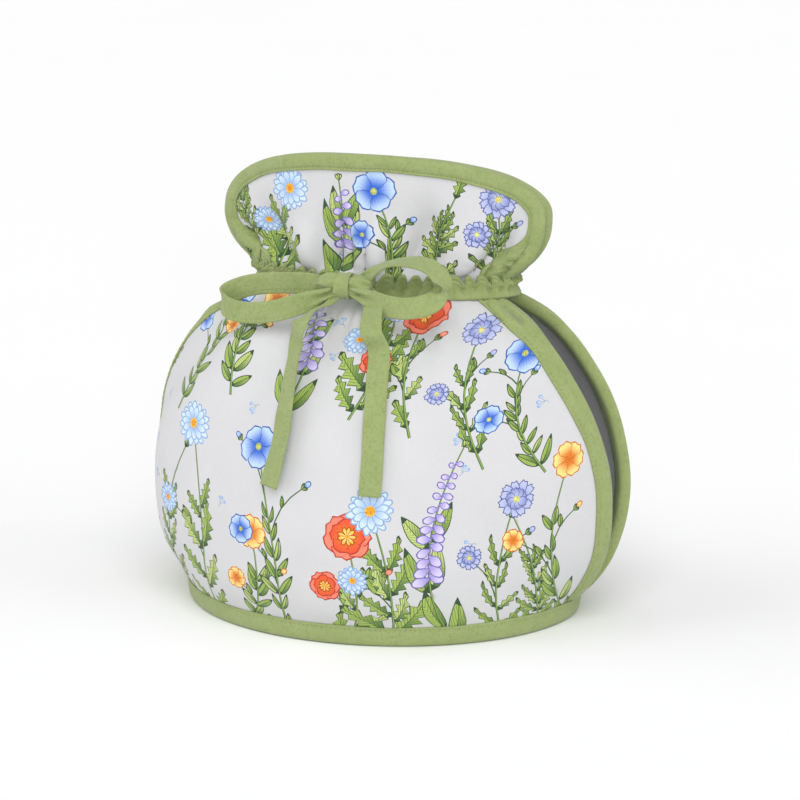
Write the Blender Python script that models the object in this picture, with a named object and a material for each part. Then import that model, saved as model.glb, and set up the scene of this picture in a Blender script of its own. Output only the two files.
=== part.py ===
"""A drawstring tea cosy: two padded cotton panels with bound edges, joined at the hem and the neck.

Each panel is one hourglass sheet, a full skirt below the neck and a flared collar lobe above it.
The spout leaves through the gap at -X and the handle through the gap at +X. The front faces -Y.
The cosy stands on its hem: z = 0 is the flat underside of the hem band.
"""

import math

import bmesh
import bpy
import numpy as np

MM = 0.001

# Driving dimensions, in millimetres. The tables below are drawn about the hem's middle; the
# origin is moved to the middle of the whole outline.
OUTLINE_CENTRE = (2.8, -1.9)
CLOTH_THICKNESS = 3.6
SEAM_GAP = 0.35
BINDING_WIDTH = 8.2
BINDING_CLOTH = 1.15
BINDING_TIP = 0.7
HEM_HEIGHT = 9.5
HEM_FLOOR = 1.3
COLLAR_CORNER_HEIGHT = 199.0
COLLAR_ROUNDNESS = 2.33
FRONT_TOP = 228.5
BACK_TOP = 222.5
BACK_LOBE_DEPTH = 0.72
NECK_HEIGHT = 163.5
NECK_CENTRE = 2.0
NECK_SMOOTH_REACH = 8.0
CASING_BOTTOM = 159.6
CASING_TOP = 168.8
CASING_CLOTH = 1.3
CASING_BULGE = 2.8
CASING_MOUTH = 5.0
RUFFLE_DEPTH = 2.0
RUFFLES = 62
TIE_WIDTH = 10.5
TIE_THICKNESS = 1.3
DRAWN_WIDTH = CASING_MOUTH - 2 * SEAM_GAP
DRAWN_THICKNESS = 2.6

# Grid of a panel: columns across, and the heights of its rows up to the collar's corner.
COLUMNS = 26
ROW_HEIGHTS = (
    HEM_FLOOR + SEAM_GAP, HEM_HEIGHT + SEAM_GAP, 16, 25, 36, 49, 62, 76, 90, 103, 115,
    126, 136, 144.5, 151.5, 157, 161.5, 166, 171, 177, 184, 191.5, COLLAR_CORNER_HEIGHT,
)
FREE_ROWS_FROM = 172.0
INSET_TARGET = 150.0

# Horizontal sections of the panels: height, reach to the handle side and the spout side, depth
# at the middle, half the gap between the panels' edges, and how far each end wraps round
# (degrees of an ellipse: 90 ends square to the gap, 35 ends flat like a lens).
SECTION_COLUMNS = ("height", "handle", "spout", "depth", "half_gap", "wrap_handle", "wrap_spout")
SECTIONS = (
    (0.0, 98.8, 97.0, 84.6, 2.2, 86, 87),
    (10.0, 101.0, 99.0, 86.5, 2.7, 84, 87),
    (17.0, 107.5, 104.0, 90.5, 4.2, 74, 86),
    (27.0, 114.5, 109.5, 94.5, 6.8, 62, 85),
    (42.0, 120.5, 114.5, 97.0, 9.8, 52, 83),
    (62.0, 123.0, 117.0, 97.0, 12.5, 46, 82),
    (84.0, 121.0, 115.5, 93.5, 14.5, 44, 82),
    (104.0, 114.5, 110.5, 86.0, 16.0, 44, 82),
    (122.0, 104.5, 101.5, 75.0, 17.0, 46, 82),
    (136.0, 94.0, 92.0, 62.5, 16.0, 50, 82),
    (147.0, 82.0, 81.5, 50.5, 13.5, 55, 80),
    (155.0, 68.5, 66.0, 40.0, 10.0, 62, 76),
    (160.0, 61.0, 57.5, 32.5, 7.8, 66, 70),
    (164.5, 58.5, 54.5, 28.5, 6.8, 64, 66),
    (170.0, 65.5, 61.5, 26.8, 5.8, 54, 56),
    (178.0, 77.0, 73.5, 26.5, 5.0, 44, 44),
    (188.0, 85.0, 83.0, 27.0, 4.3, 38, 38),
    (199.0, 88.0, 85.5, 27.0, 4.0, 36, 36),
    (230.0, 88.5, 86.0, 25.5, 4.0, 35, 35),
)

# Soft troughs (negative) and ridges: place across the panel (-1 spout edge, 1 handle edge),
# height, half-width across, reach up and down, and depth.
FRONT_FOLDS = (
    (-0.84, 180.0, 0.10, 13.0, -2.6),
    (-0.60, 184.0, 0.11, 16.0, -3.4),
    (-0.36, 180.0, 0.09, 12.0, 1.8),
    (-0.14, 182.0, 0.10, 14.0, -2.4),
    (0.12, 180.0, 0.09, 12.0, 1.6),
    (0.34, 184.0, 0.10, 18.0, -3.6),
    (0.60, 180.0, 0.10, 13.0, 1.8),
    (0.80, 182.0, 0.09, 13.0, -2.6),
    (-0.72, 146.0, 0.10, 16.0, -2.0),
    (-0.44, 142.0, 0.10, 18.0, 1.6),
    (-0.22, 140.0, 0.09, 22.0, -2.4),
    (0.10, 146.0, 0.10, 14.0, 1.6),
    (0.42, 140.0, 0.11, 20.0, -2.2),
    (0.72, 144.0, 0.10, 16.0, 1.6),
    (-0.30, 88.0, 0.16, 40.0, -2.4),
    (0.24, 70.0, 0.20, 42.0, 1.6),
    (0.60, 84.0, 0.16, 36.0, -2.2),
    (-0.84, 66.0, 0.12, 34.0, -3.2),
    (-0.62, 62.0, 0.12, 34.0, 1.8),
)
BACK_FOLDS = (
    (-0.80, 181.0, 0.10, 14.0, -2.8),
    (-0.52, 183.0, 0.10, 14.0, -3.0),
    (-0.26, 180.0, 0.10, 13.0, 1.8),
    (0.02, 183.0, 0.11, 16.0, -3.2),
    (0.30, 180.0, 0.09, 12.0, 1.6),
    (0.54, 183.0, 0.10, 15.0, -3.0),
    (0.82, 181.0, 0.10, 13.0, -2.4),
    (-0.64, 143.0, 0.11, 18.0, -2.2),
    (-0.30, 142.0, 0.10, 18.0, 1.6),
    (0.04, 138.0, 0.11, 24.0, -2.4),
    (0.38, 143.0, 0.10, 16.0, 1.6),
    (0.66, 142.0, 0.10, 18.0, -2.0),
    (-0.40, 76.0, 0.18, 38.0, 1.8),
    (0.08, 84.0, 0.18, 42.0, -2.6),
    (0.52, 70.0, 0.18, 38.0, 1.8),
)

# The bow's routes: centre of the tape in x, y, z and the direction of its width.
LEFT_LOOP = (
    (-5.0, -46.0, 166.0, 0.0, 0.1, 1.0),
    (-16.0, -44.5, 166.5, 0.0, 0.1, 1.0),
    (-32.0, -44.5, 166.5, 0.0, 0.0, 1.0),
    (-48.0, -45.0, 165.5, 0.0, 0.1, 1.0),
    (-61.0, -46.0, 163.0, 0.0, 0.2, 1.0),
    (-67.5, -50.0, 158.5, 0.1, 0.3, 1.0),
    (-62.0, -55.0, 154.0, 0.1, 0.2, 1.0),
    (-50.0, -57.0, 152.5, 0.0, 0.0, 1.0),
    (-36.0, -57.0, 154.0, -0.1, 0.0, 1.0),
    (-21.0, -55.0, 158.5, -0.1, 0.0, 1.0),
    (-6.0, -49.5, 164.5, 0.0, 0.0, 1.0),
)
RIGHT_LOOP = (
    (4.0, -44.8, 167.0, 0.0, 0.2, 1.0),
    (11.0, -44.6, 172.5, 0.0, 0.8, 0.6),
    (19.0, -44.0, 178.0, 0.0, 1.0, 0.1),
    (30.0, -44.0, 180.8, 0.0, 1.0, 0.1),
    (41.0, -45.5, 179.5, -0.1, 0.9, 0.3),
    (48.5, -48.5, 174.5, -0.1, 0.8, 0.6),
    (50.5, -52.0, 168.5, 0.0, 0.6, 0.8),
    (47.0, -56.0, 163.5, 0.0, 0.5, 0.9),
    (38.0, -58.5, 160.0, 0.0, 0.3, 1.0),
    (26.5, -58.0, 160.0, 0.0, 0.2, 1.0),
    (16.0, -54.5, 162.5, 0.0, 0.1, 1.0),
    (5.0, -49.5, 165.5, 0.0, 0.0, 1.0),
)
# The tie's two strands side by side, from the knot back into the casing's mouth.
DRAWN_STRANDS = (
    (NECK_CENTRE, -46.0, 166.0, 1.0, 0.0, 0.0),
    (NECK_CENTRE, -40.0, 165.0, 1.0, 0.0, 0.0),
    (NECK_CENTRE, -36.0, 164.2, 1.0, 0.0, 0.0),
    (NECK_CENTRE, -32.6, 164.0, 1.0, 0.0, 0.0),
)
# The tails: x, how far the tape's middle stands off the panel, height, direction of its width.
LEFT_TAIL = (
    (-3.0, 16.0, 165.5, 0.9, -0.3, 0.3),
    (-9.0, 9.0, 159.5, 0.8, -0.4, 0.4),
    (-14.5, 7.5, 151.0, 0.7, -0.7, 0.2),
    (-17.0, 6.4, 142.0, 0.6, -0.7, 0.0),
    (-16.0, 5.8, 130.0, 0.7, -0.6, 0.0),
    (-14.5, 5.2, 114.0, 0.8, -0.5, 0.0),
    (-15.0, 4.6, 96.0, 0.9, -0.4, 0.0),
    (-18.5, 4.4, 78.0, 0.9, -0.3, 0.0),
)
RIGHT_TAIL = (
    (5.0, 16.0, 165.5, 0.9, 0.0, 0.4),
    (15.0, 9.0, 159.5, 0.9, 0.0, 0.4),
    (21.5, 6.5, 151.5, 1.0, 0.1, 0.1),
    (24.5, 4.2, 142.0, 1.0, 0.2, 0.0),
    (27.5, 3.2, 128.0, 1.0, 0.2, 0.0),
    (29.5, 2.8, 110.0, 1.0, 0.2, 0.0),
    (31.0, 2.8, 92.0, 1.0, 0.2, 0.0),
    (31.5, 2.8, 77.0, 1.0, 0.2, 0.0),
)
# The knot, a wrapped bar along x: place, half-height, half-depth.
KNOT_CENTRE = (0.0, -46.5, 166.5)
KNOT_RINGS = (
    (-14.0, 3.8, 2.8),
    (-11.5, 6.0, 4.2),
    (-5.0, 6.9, 5.0),
    (0.0, 6.3, 4.6),
    (4.5, 7.1, 5.2),
    (9.5, 6.6, 4.8),
    (13.0, 4.2, 3.0),
)
KNOT_SIDES = 14

WHITE_COTTON = ("white_cotton", (0.86, 0.86, 0.87), 0.85)
GREEN_COTTON = ("green_cotton", (0.36, 0.47, 0.16), 0.85)


def smooth_read(places, values, at):
    """Cubic Hermite reading of a table whose slopes are its own finite differences."""
    places = np.asarray(places, float)
    values = np.asarray(values, float)
    slopes = np.gradient(values, places, axis=0)
    i = int(np.clip(np.searchsorted(places, at) - 1, 0, len(places) - 2))
    span = places[i + 1] - places[i]
    t = float(np.clip((at - places[i]) / span, 0.0, 1.0))
    a = 2 * t**3 - 3 * t**2 + 1
    b = t**3 - 2 * t**2 + t
    c = -2 * t**3 + 3 * t**2
    d = t**3 - t**2
    return a * values[i] + b * span * slopes[i] + c * values[i + 1] + d * span * slopes[i + 1]


SECTION_HEIGHTS = [row[0] for row in SECTIONS]


def section_at(height):
    values = smooth_read(SECTION_HEIGHTS, SECTIONS, height)
    return dict(zip(SECTION_COLUMNS, values))


class Panel:
    """The middle surface of one panel, over u (-1 to 1 across) and height."""

    def __init__(self, side, folds, top):
        self.side = side
        self.folds = folds
        self.top = top

    def depth_scale(self, height):
        if self.side < 0:
            return 1.0
        lean = min(max((height - NECK_HEIGHT) / (COLLAR_CORNER_HEIGHT - NECK_HEIGHT), 0.0), 1.0)
        return 1.0 + (BACK_LOBE_DEPTH - 1.0) * lean

    def plain(self, u, height):
        section = section_at(height)
        handle_end = u >= 0.0
        reach = section["handle"] if handle_end else section["spout"]
        wrap = math.radians(section["wrap_handle"] if handle_end else section["wrap_spout"])
        turn = u * wrap
        crown = (math.cos(turn) - math.cos(wrap)) / (1.0 - math.cos(wrap))
        full_depth = section["depth"] * self.depth_scale(height)
        depth = section["half_gap"] + (full_depth - section["half_gap"]) * crown
        return np.array((reach * math.sin(turn) / math.sin(wrap), self.side * depth, height))

    def plain_normal(self, u, height):
        step_u = 0.004
        step_z = 0.4
        along_u = self.plain(u + step_u, height) - self.plain(u - step_u, height)
        along_z = self.plain(u, height + step_z) - self.plain(u, height - step_z)
        normal = np.cross(along_u, along_z) * -self.side
        return normal / np.linalg.norm(normal)

    def fold_depth(self, u, height):
        total = 0.0
        for place, fold_height, width, reach, depth in self.folds:
            across = (u - place) / width
            along = (height - fold_height) / reach
            total += depth * math.exp(-across * across - along * along)
        still = math.exp(-(((height - NECK_HEIGHT) / NECK_SMOOTH_REACH) ** 4))
        rise = min(max((height - HEM_HEIGHT) / HEM_HEIGHT, 0.0), 1.0)
        return total * (1.0 - still) * rise

    def point(self, u, height):
        return self.plain(u, height) + self.plain_normal(u, height) * self.fold_depth(u, height)

    def frame(self, u, height):
        """The point, its two derivatives and the outward normal."""
        step_u = 0.004
        step_z = 0.4
        here = self.point(u, height)
        along_u = (self.point(u + step_u, height) - self.point(u - step_u, height)) / (2 * step_u)
        along_z = (self.point(u, height + step_z) - self.point(u, height - step_z)) / (2 * step_z)
        normal = np.cross(along_u, along_z) * -self.side
        normal /= np.linalg.norm(normal)
        normal[2] *= min(max((height - HEM_HEIGHT - SEAM_GAP) / HEM_HEIGHT, 0.0), 1.0)
        return here, along_u, along_z, normal / np.linalg.norm(normal)

    def rim(self):
        """The bound edge in (u, height): up the handle side, over the collar, down the spout side."""
        up = [(1.0, height) for height in ROW_HEIGHTS[:-1]]
        over = []
        power = 2.0 / COLLAR_ROUNDNESS
        for k in range(COLUMNS + 1):
            turn = math.pi * k / COLUMNS
            across = math.copysign(abs(math.cos(turn)) ** power, math.cos(turn))
            rise = abs(math.sin(turn)) ** power
            over.append((across, COLLAR_CORNER_HEIGHT + (self.top - COLLAR_CORNER_HEIGHT) * rise))
        down = [(-1.0, height) for height in reversed(ROW_HEIGHTS[:-1])]
        return up + over + down

    def inset(self, rim, width):
        """Each rim point moved inward along the cloth, square to the edge."""
        points = [self.point(u, height) for u, height in rim]
        inner = []
        last = len(rim) - 1
        for k, (u, height) in enumerate(rim):
            _, along_u, along_z, normal = self.frame(u, height)
            tangent = points[min(k + 1, last)] - points[max(k - 1, 0)]
            inward = np.cross(normal, tangent)
            inward /= np.linalg.norm(inward)
            if np.dot(inward, self.point(0.0, INSET_TARGET) - points[k]) < 0.0:
                inward = -inward
            basis = np.stack((along_u, along_z), axis=1)
            shift = np.linalg.lstsq(basis, inward * width, rcond=None)[0]
            if k < len(ROW_HEIGHTS) - 1 or k > last - len(ROW_HEIGHTS) + 1:
                shift[1] = 0.0
                shift[0] = -math.copysign(width / np.linalg.norm(along_u), u)
            inner.append((u + shift[0], height + shift[1]))
        return inner


def new_object(name, vertices, faces, material, collection):
    mesh = bpy.data.meshes.new(name)
    centre = np.array((*OUTLINE_CENTRE, 0.0))
    mesh.from_pydata([tuple((np.asarray(v) - centre) * MM) for v in vertices], [], faces)
    work = bmesh.new()
    work.from_mesh(mesh)
    bmesh.ops.recalc_face_normals(work, faces=work.faces)
    work.to_mesh(mesh)
    work.free()
    mesh.materials.append(material)
    mesh.shade_smooth()
    mesh.set_sharp_from_angle(angle=math.radians(40))
    thing = bpy.data.objects.new(name, mesh)
    collection.objects.link(thing)
    return thing


def new_material(spec):
    name, colour, roughness = spec
    material = bpy.data.materials.new(name)
    material.use_nodes = True
    shader = material.node_tree.nodes["Principled BSDF"]
    shader.inputs["Base Color"].default_value = (*colour, 1.0)
    shader.inputs["Roughness"].default_value = roughness
    shader.inputs["Metallic"].default_value = 0.0
    return material


def panel_grid(panel):
    """(u, height) of the sheet: rows of the inner grid with the rim strip as its outer columns."""
    rim = panel.rim()
    inner = panel.inset(rim, BINDING_WIDTH)
    side_rows = len(ROW_HEIGHTS) - 1
    handle_side = inner[:side_rows]
    top_row = inner[side_rows:side_rows + COLUMNS + 1]
    spout_side = inner[side_rows + COLUMNS + 1:][::-1]
    shares = []
    for u, _ in top_row:
        shares.append((top_row[0][0] - u) / (top_row[0][0] - top_row[-1][0]))
    corner_height = ROW_HEIGHTS[-1]
    rows = []
    for j in range(side_rows):
        height = ROW_HEIGHTS[j]
        free = max((height - FREE_ROWS_FROM) / (corner_height - FREE_ROWS_FROM), 0.0)
        row = []
        for share, (_, top_height) in zip(shares, top_row):
            u = handle_side[j][0] + (spout_side[j][0] - handle_side[j][0]) * share
            ends = top_row[0][1] + (top_row[-1][1] - top_row[0][1]) * share
            row.append((u, height + free * (top_height - ends)))
        rows.append(row)
    rows.append(top_row)
    return rim, inner, rows


def build_panel(name, panel, material, collection):
    """The padded sheet: an outer and an inner face over one grid, closed round the rim."""
    rim, _, rows = panel_grid(panel)
    side_rows = len(ROW_HEIGHTS) - 1
    half = CLOTH_THICKNESS / 2
    spots = [spot for row in rows for spot in row]
    width = COLUMNS + 1
    rim_start = len(spots)
    spots += rim
    quads = []
    for j in range(side_rows):
        for i in range(COLUMNS):
            a = j * width + i
            quads.append((a, a + 1, a + width + 1, a + width))
    inner_loop = [j * width for j in range(side_rows)]
    inner_loop += [side_rows * width + i for i in range(width)]
    inner_loop += [j * width + COLUMNS for j in reversed(range(side_rows))]
    for k in range(len(rim) - 1):
        quads.append((rim_start + k, inner_loop[k], inner_loop[k + 1], rim_start + k + 1))
    outline = [rim_start + k for k in range(len(rim))]
    outline += [COLUMNS - i for i in range(width)]
    outer = []
    back = []
    for u, height in spots:
        here, _, _, normal = panel.frame(u, height)
        outer.append(here + normal * half)
        back.append(here - normal * half)
    count = len(spots)
    faces = list(quads)
    faces += [tuple(count + v for v in reversed(quad)) for quad in quads]
    for k, a in enumerate(outline):
        b = outline[(k + 1) % len(outline)]
        faces.append((b, a, count + a, count + b))
    return new_object(name, outer + back, faces, material, collection)


def loft(rings, closed):
    """Faces between like rings of points, with end caps unless the loft closes on itself."""
    sides = len(rings[0])
    vertices = [point for ring in rings for point in ring]
    faces = []
    pairs = len(rings) if closed else len(rings) - 1
    for k in range(pairs):
        a = k * sides
        b = ((k + 1) % len(rings)) * sides
        for i in range(sides):
            j = (i + 1) % sides
            faces.append((a + i, a + j, b + j, b + i))
    if not closed:
        faces.append(tuple(reversed(range(sides))))
        faces.append(tuple(range((len(rings) - 1) * sides, len(rings) * sides)))
    return vertices, faces


def build_binding(name, panel, material, collection):
    """The tape folded over the rim: a channel with the sheet's edge inside it."""
    rim, inner, _ = panel_grid(panel)
    half = CLOTH_THICKNESS / 2 + SEAM_GAP
    rings = []
    for k in range(1, len(rim) - 1):
        edge, _, _, edge_normal = panel.frame(*rim[k])
        tip, _, _, tip_normal = panel.frame(*inner[k])
        outward = edge - tip
        outward /= np.linalg.norm(outward)
        middle = (edge + tip) / 2
        middle_normal = (edge_normal + tip_normal) / 2
        ring = [
            tip + tip_normal * half,
            tip + tip_normal * (half + BINDING_TIP),
            middle + middle_normal * (half + BINDING_CLOTH),
            edge + edge_normal * (half + BINDING_CLOTH * 0.9),
            edge + outward * (SEAM_GAP + BINDING_CLOTH) + edge_normal * half * 0.5,
            edge + outward * (SEAM_GAP + BINDING_CLOTH) - edge_normal * half * 0.5,
            edge - edge_normal * (half + BINDING_CLOTH * 0.9),
            middle - middle_normal * (half + BINDING_CLOTH),
            tip - tip_normal * (half + BINDING_TIP),
            tip - tip_normal * half,
            edge + outward * SEAM_GAP - edge_normal * half,
            edge + outward * SEAM_GAP + edge_normal * half,
        ]
        rings.append(ring)
    vertices, faces = loft(rings, closed=False)
    return new_object(name, vertices, faces, material, collection)


def flat_normal(panel, u, height):
    _, along_u, _, _ = panel.frame(u, height)
    normal = np.array((along_u[1], -along_u[0], 0.0)) * -panel.side
    return normal / np.linalg.norm(normal)


def build_hem(name, front, back, material, collection):
    """The hem band: one channel round both panels' lower edges, flat underneath."""
    half = CLOTH_THICKNESS / 2 + SEAM_GAP
    wall = half + BINDING_CLOTH
    profile = (
        (-wall, 0.0),
        (wall - 0.5, 0.0),
        (wall + 0.1, 1.2),
        (wall + 0.2, 5.0),
        (wall - 0.1, HEM_HEIGHT - 0.6),
        (half + BINDING_TIP, HEM_HEIGHT),
        (half, HEM_HEIGHT),
        (half, HEM_FLOOR),
        (-half, HEM_FLOOR),
        (-half, HEM_HEIGHT),
        (-wall, HEM_HEIGHT),
    )
    rings = []
    for panel, direction in ((front, 1), (back, -1)):
        _, _, rows = panel_grid(panel)
        stations = [1.0] + [u for u, _ in rows[0]] + [-1.0]
        for u in stations[::direction]:
            normal = flat_normal(panel, u, HEM_HEIGHT / 2)
            ring = []
            for offset, height in profile:
                spot = panel.plain(u, height)
                spot = spot + normal * offset
                spot[2] = height
                ring.append(spot)
            rings.append(ring)
    vertices, faces = loft(rings, closed=True)
    return new_object(name, vertices, faces, material, collection)


def casing_half_sizes(panels, height):
    """Half-axes of the plan ellipse that clears the panels and their bindings at a height."""
    face = CLOTH_THICKNESS / 2 + SEAM_GAP
    bound_face = face + BINDING_CLOTH + SEAM_GAP
    spots = []
    for panel in panels:
        for u in np.linspace(-1.0, 1.0, 25):
            for level in np.arange(height - 4.0, height + 4.1, 0.8):
                here, _, _, normal = panel.frame(u, level)
                spot = here + normal * (bound_face if abs(u) > 0.8 else face)
                if abs(spot[2] - height) < 1.0:
                    spots.append(spot)
    depth = max(abs(spot[1]) for spot in spots) + SEAM_GAP
    reach = max(
        abs(spot[0] - NECK_CENTRE) / math.sqrt(1.0 - (spot[1] / depth) ** 2) for spot in spots
    )
    return reach + SEAM_GAP, depth


def build_casing(name, panels, material, collection):
    """The gathered casing round the neck, open behind the knot, with a ruffled upper edge."""
    levels = (
        (CASING_BOTTOM, 0.0, 0.0),
        (NECK_HEIGHT, 0.0, 0.0),
        (CASING_TOP, 0.2, 1.0),
        (CASING_TOP + 0.3, CASING_CLOTH, 1.0),
        (NECK_HEIGHT + 2.6, CASING_CLOTH + 0.3, 0.35),
        (NECK_HEIGHT - 0.8, CASING_BULGE, 0.1),
        (CASING_BOTTOM, CASING_CLOTH, 0.0),
    )
    sizes = {height: casing_half_sizes(panels, height) for height, _, _ in levels}
    stations = 2 * RUFFLES
    start = math.asin(CASING_MOUTH / 2 / sizes[NECK_HEIGHT][0])
    rings = []
    for k in range(stations + 1):
        turn = start + (2 * math.pi - 2 * start) * k / stations
        ring = []
        for height, offset, share in levels:
            a, b = sizes[height]
            across = np.array((math.sin(turn) / a, -math.cos(turn) / b, 0.0))
            across /= np.linalg.norm(across)
            ruffle = RUFFLE_DEPTH * share * (k % 2)
            spot = np.array((NECK_CENTRE + a * math.sin(turn), -b * math.cos(turn), height))
            ring.append(spot + across * (offset + ruffle))
        rings.append(ring)
    vertices, faces = loft(rings, closed=False)
    return new_object(name, vertices, faces, material, collection)


def smooth_route(rows, count):
    """Points and width directions along a route, read evenly by its length."""
    rows = np.asarray(rows, float)
    steps = np.linalg.norm(np.diff(rows[:, :3], axis=0), axis=1)
    places = np.concatenate(([0.0], np.cumsum(steps)))
    return [smooth_read(places, rows, at) for at in np.linspace(0.0, places[-1], count)]


def tape_rings(rows, count, width, thickness):
    route = smooth_route(rows, count)
    rings = []
    for k, row in enumerate(route):
        before = route[max(k - 1, 0)][:3]
        after = route[min(k + 1, count - 1)][:3]
        along = (after - before) / np.linalg.norm(after - before)
        across = row[3:6] - along * np.dot(row[3:6], along)
        across /= np.linalg.norm(across)
        face = np.cross(along, across)
        w = across * width / 2
        t = face * thickness / 2
        here = row[:3]
        rings.append([here - w - t * 0.6, here - t, here + w - t * 0.6,
                      here + w + t * 0.6, here + t, here - w + t * 0.6])
    return rings


def tail_rows(front, rows):
    """The tails follow the front panel: their depth is read from its outer face."""
    out = []
    for x, stand_off, height, wx, wy, wz in rows:
        section = section_at(height)
        reach = section["handle"] if x > 0 else section["spout"]
        wrap = math.radians(section["wrap_handle"] if x > 0 else section["wrap_spout"])
        u = math.asin(x * math.sin(wrap) / reach) / wrap
        spot, _, _, normal = front.frame(u, height)
        forward = (CLOTH_THICKNESS / 2 + stand_off) / normal[1]
        out.append((x, spot[1] + forward, height, wx, wy, wz))
    return out


def build_tie(name, front, material, collection, cutters):
    """The tie in its bow: a wrapped knot, two loops and two tails, joined into one tape."""
    knot_rings = []
    for place, half_height, half_depth in KNOT_RINGS:
        ring = []
        for k in range(KNOT_SIDES):
            turn = 2 * math.pi * k / KNOT_SIDES
            ring.append(np.array((
                KNOT_CENTRE[0] + place,
                KNOT_CENTRE[1] + half_depth * math.cos(turn),
                KNOT_CENTRE[2] + half_height * math.sin(turn),
            )))
        knot_rings.append(ring)
    vertices, faces = loft(knot_rings, closed=False)
    tie = new_object(name, vertices, faces, material, collection)
    tape = (TIE_WIDTH, TIE_THICKNESS)
    parts = (
        ("left_loop", LEFT_LOOP, 30, tape),
        ("right_loop", RIGHT_LOOP, 30, tape),
        ("left_tail", tail_rows(front, LEFT_TAIL), 20, tape),
        ("right_tail", tail_rows(front, RIGHT_TAIL), 20, tape),
        ("drawn_strands", DRAWN_STRANDS, 6, (DRAWN_WIDTH, DRAWN_THICKNESS)),
    )
    for part_name, rows, count, (width, thickness) in parts:
        vertices, faces = loft(tape_rings(rows, count, width, thickness), closed=False)
        tape = new_object(part_name, vertices, faces, material, cutters)
        tape.hide_render = True
        tape.display_type = "WIRE"
        join = tie.modifiers.new(part_name, "BOOLEAN")
        join.operation = "UNION"
        join.solver = "MANIFOLD"
        join.object = tape
    return tie


def main():
    for thing in list(bpy.data.objects):
        bpy.data.objects.remove(thing)
    cosy = bpy.data.collections.new("tea_cosy")
    cutters = bpy.data.collections.new("cutters")
    bpy.context.scene.collection.children.link(cosy)
    bpy.context.scene.collection.children.link(cutters)
    white = new_material(WHITE_COTTON)
    green = new_material(GREEN_COTTON)
    front = Panel(-1.0, FRONT_FOLDS, FRONT_TOP)
    back = Panel(1.0, BACK_FOLDS, BACK_TOP)
    build_panel("front_panel", front, white, cosy)
    build_panel("back_panel", back, white, cosy)
    build_binding("front_binding", front, green, cosy)
    build_binding("back_binding", back, green, cosy)
    build_hem("hem_band", front, back, green, cosy)
    build_casing("neck_casing", (front, back), green, cosy)
    build_tie("tie", front, green, cosy, cutters)


main()
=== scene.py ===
import math
import random

import bmesh
import bpy
import numpy as np
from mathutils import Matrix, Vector
from mathutils.geometry import delaunay_2d_cdt


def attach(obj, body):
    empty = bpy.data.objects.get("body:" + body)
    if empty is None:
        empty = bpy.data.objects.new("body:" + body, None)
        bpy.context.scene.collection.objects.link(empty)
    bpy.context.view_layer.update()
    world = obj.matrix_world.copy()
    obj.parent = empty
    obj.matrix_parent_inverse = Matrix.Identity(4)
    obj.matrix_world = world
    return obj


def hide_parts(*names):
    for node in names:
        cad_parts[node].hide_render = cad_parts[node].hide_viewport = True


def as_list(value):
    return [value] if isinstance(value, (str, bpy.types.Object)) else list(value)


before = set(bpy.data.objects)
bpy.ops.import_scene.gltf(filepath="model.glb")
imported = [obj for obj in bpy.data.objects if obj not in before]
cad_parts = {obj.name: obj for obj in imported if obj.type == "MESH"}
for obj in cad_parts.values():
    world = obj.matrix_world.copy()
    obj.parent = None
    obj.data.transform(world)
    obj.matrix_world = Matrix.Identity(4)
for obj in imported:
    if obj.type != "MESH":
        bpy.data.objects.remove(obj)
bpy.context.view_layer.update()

# The tables are in millimetres about the middle of the hem. The scene's origin is the middle of
# the whole outline, in metres.
outlineCentre = np.array((2.8, -1.9, 0.0))


def toScene(points):
    return (np.asarray(points, float) - outlineCentre) * 0.001


def tint(code):
    # a colour written as six hex digits, as linear light
    parts = [int(code[i:i + 2], 16) / 255 for i in (0, 2, 4)]
    return tuple(c / 12.92 if c <= 0.04045 else ((c + 0.055) / 1.055) ** 2.4 for c in parts)


def smoothRead(places, values, at):
    # cubic reading of a table whose slopes are its own differences
    slopes = np.gradient(values, places, axis=0)
    at = np.clip(np.asarray(at, float), places[0], places[-1])
    i = np.clip(np.searchsorted(places, at) - 1, 0, len(places) - 2)
    span = (places[i + 1] - places[i])[..., None]
    t = (at - places[i])[..., None] / span
    return ((2 * t**3 - 3 * t**2 + 1) * values[i] + (t**3 - 2 * t**2 + t) * span * slopes[i]
            + (3 * t**2 - 2 * t**3) * values[i + 1] + (t**3 - t**2) * span * slopes[i + 1])


def ease(x):
    x = np.clip(x, 0.0, 1.0)
    return x * x * (3 - 2 * x)


def unit(vectors):
    return vectors / np.linalg.norm(vectors, axis=-1, keepdims=True)


def lengthAlong(line):
    return np.concatenate(([0.0], np.cumsum(np.linalg.norm(np.diff(line, axis=0), axis=1))))


def soften(rows, rounds):
    # in place, with both end rows kept
    for _ in range(rounds):
        rows[1:-1] = (rows[:-2] + rows[1:-1] * 2 + rows[2:]) / 4


def addObject(name, data):
    thing = bpy.data.objects.new(name, data)
    bpy.context.scene.collection.objects.link(thing)
    return thing


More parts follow.
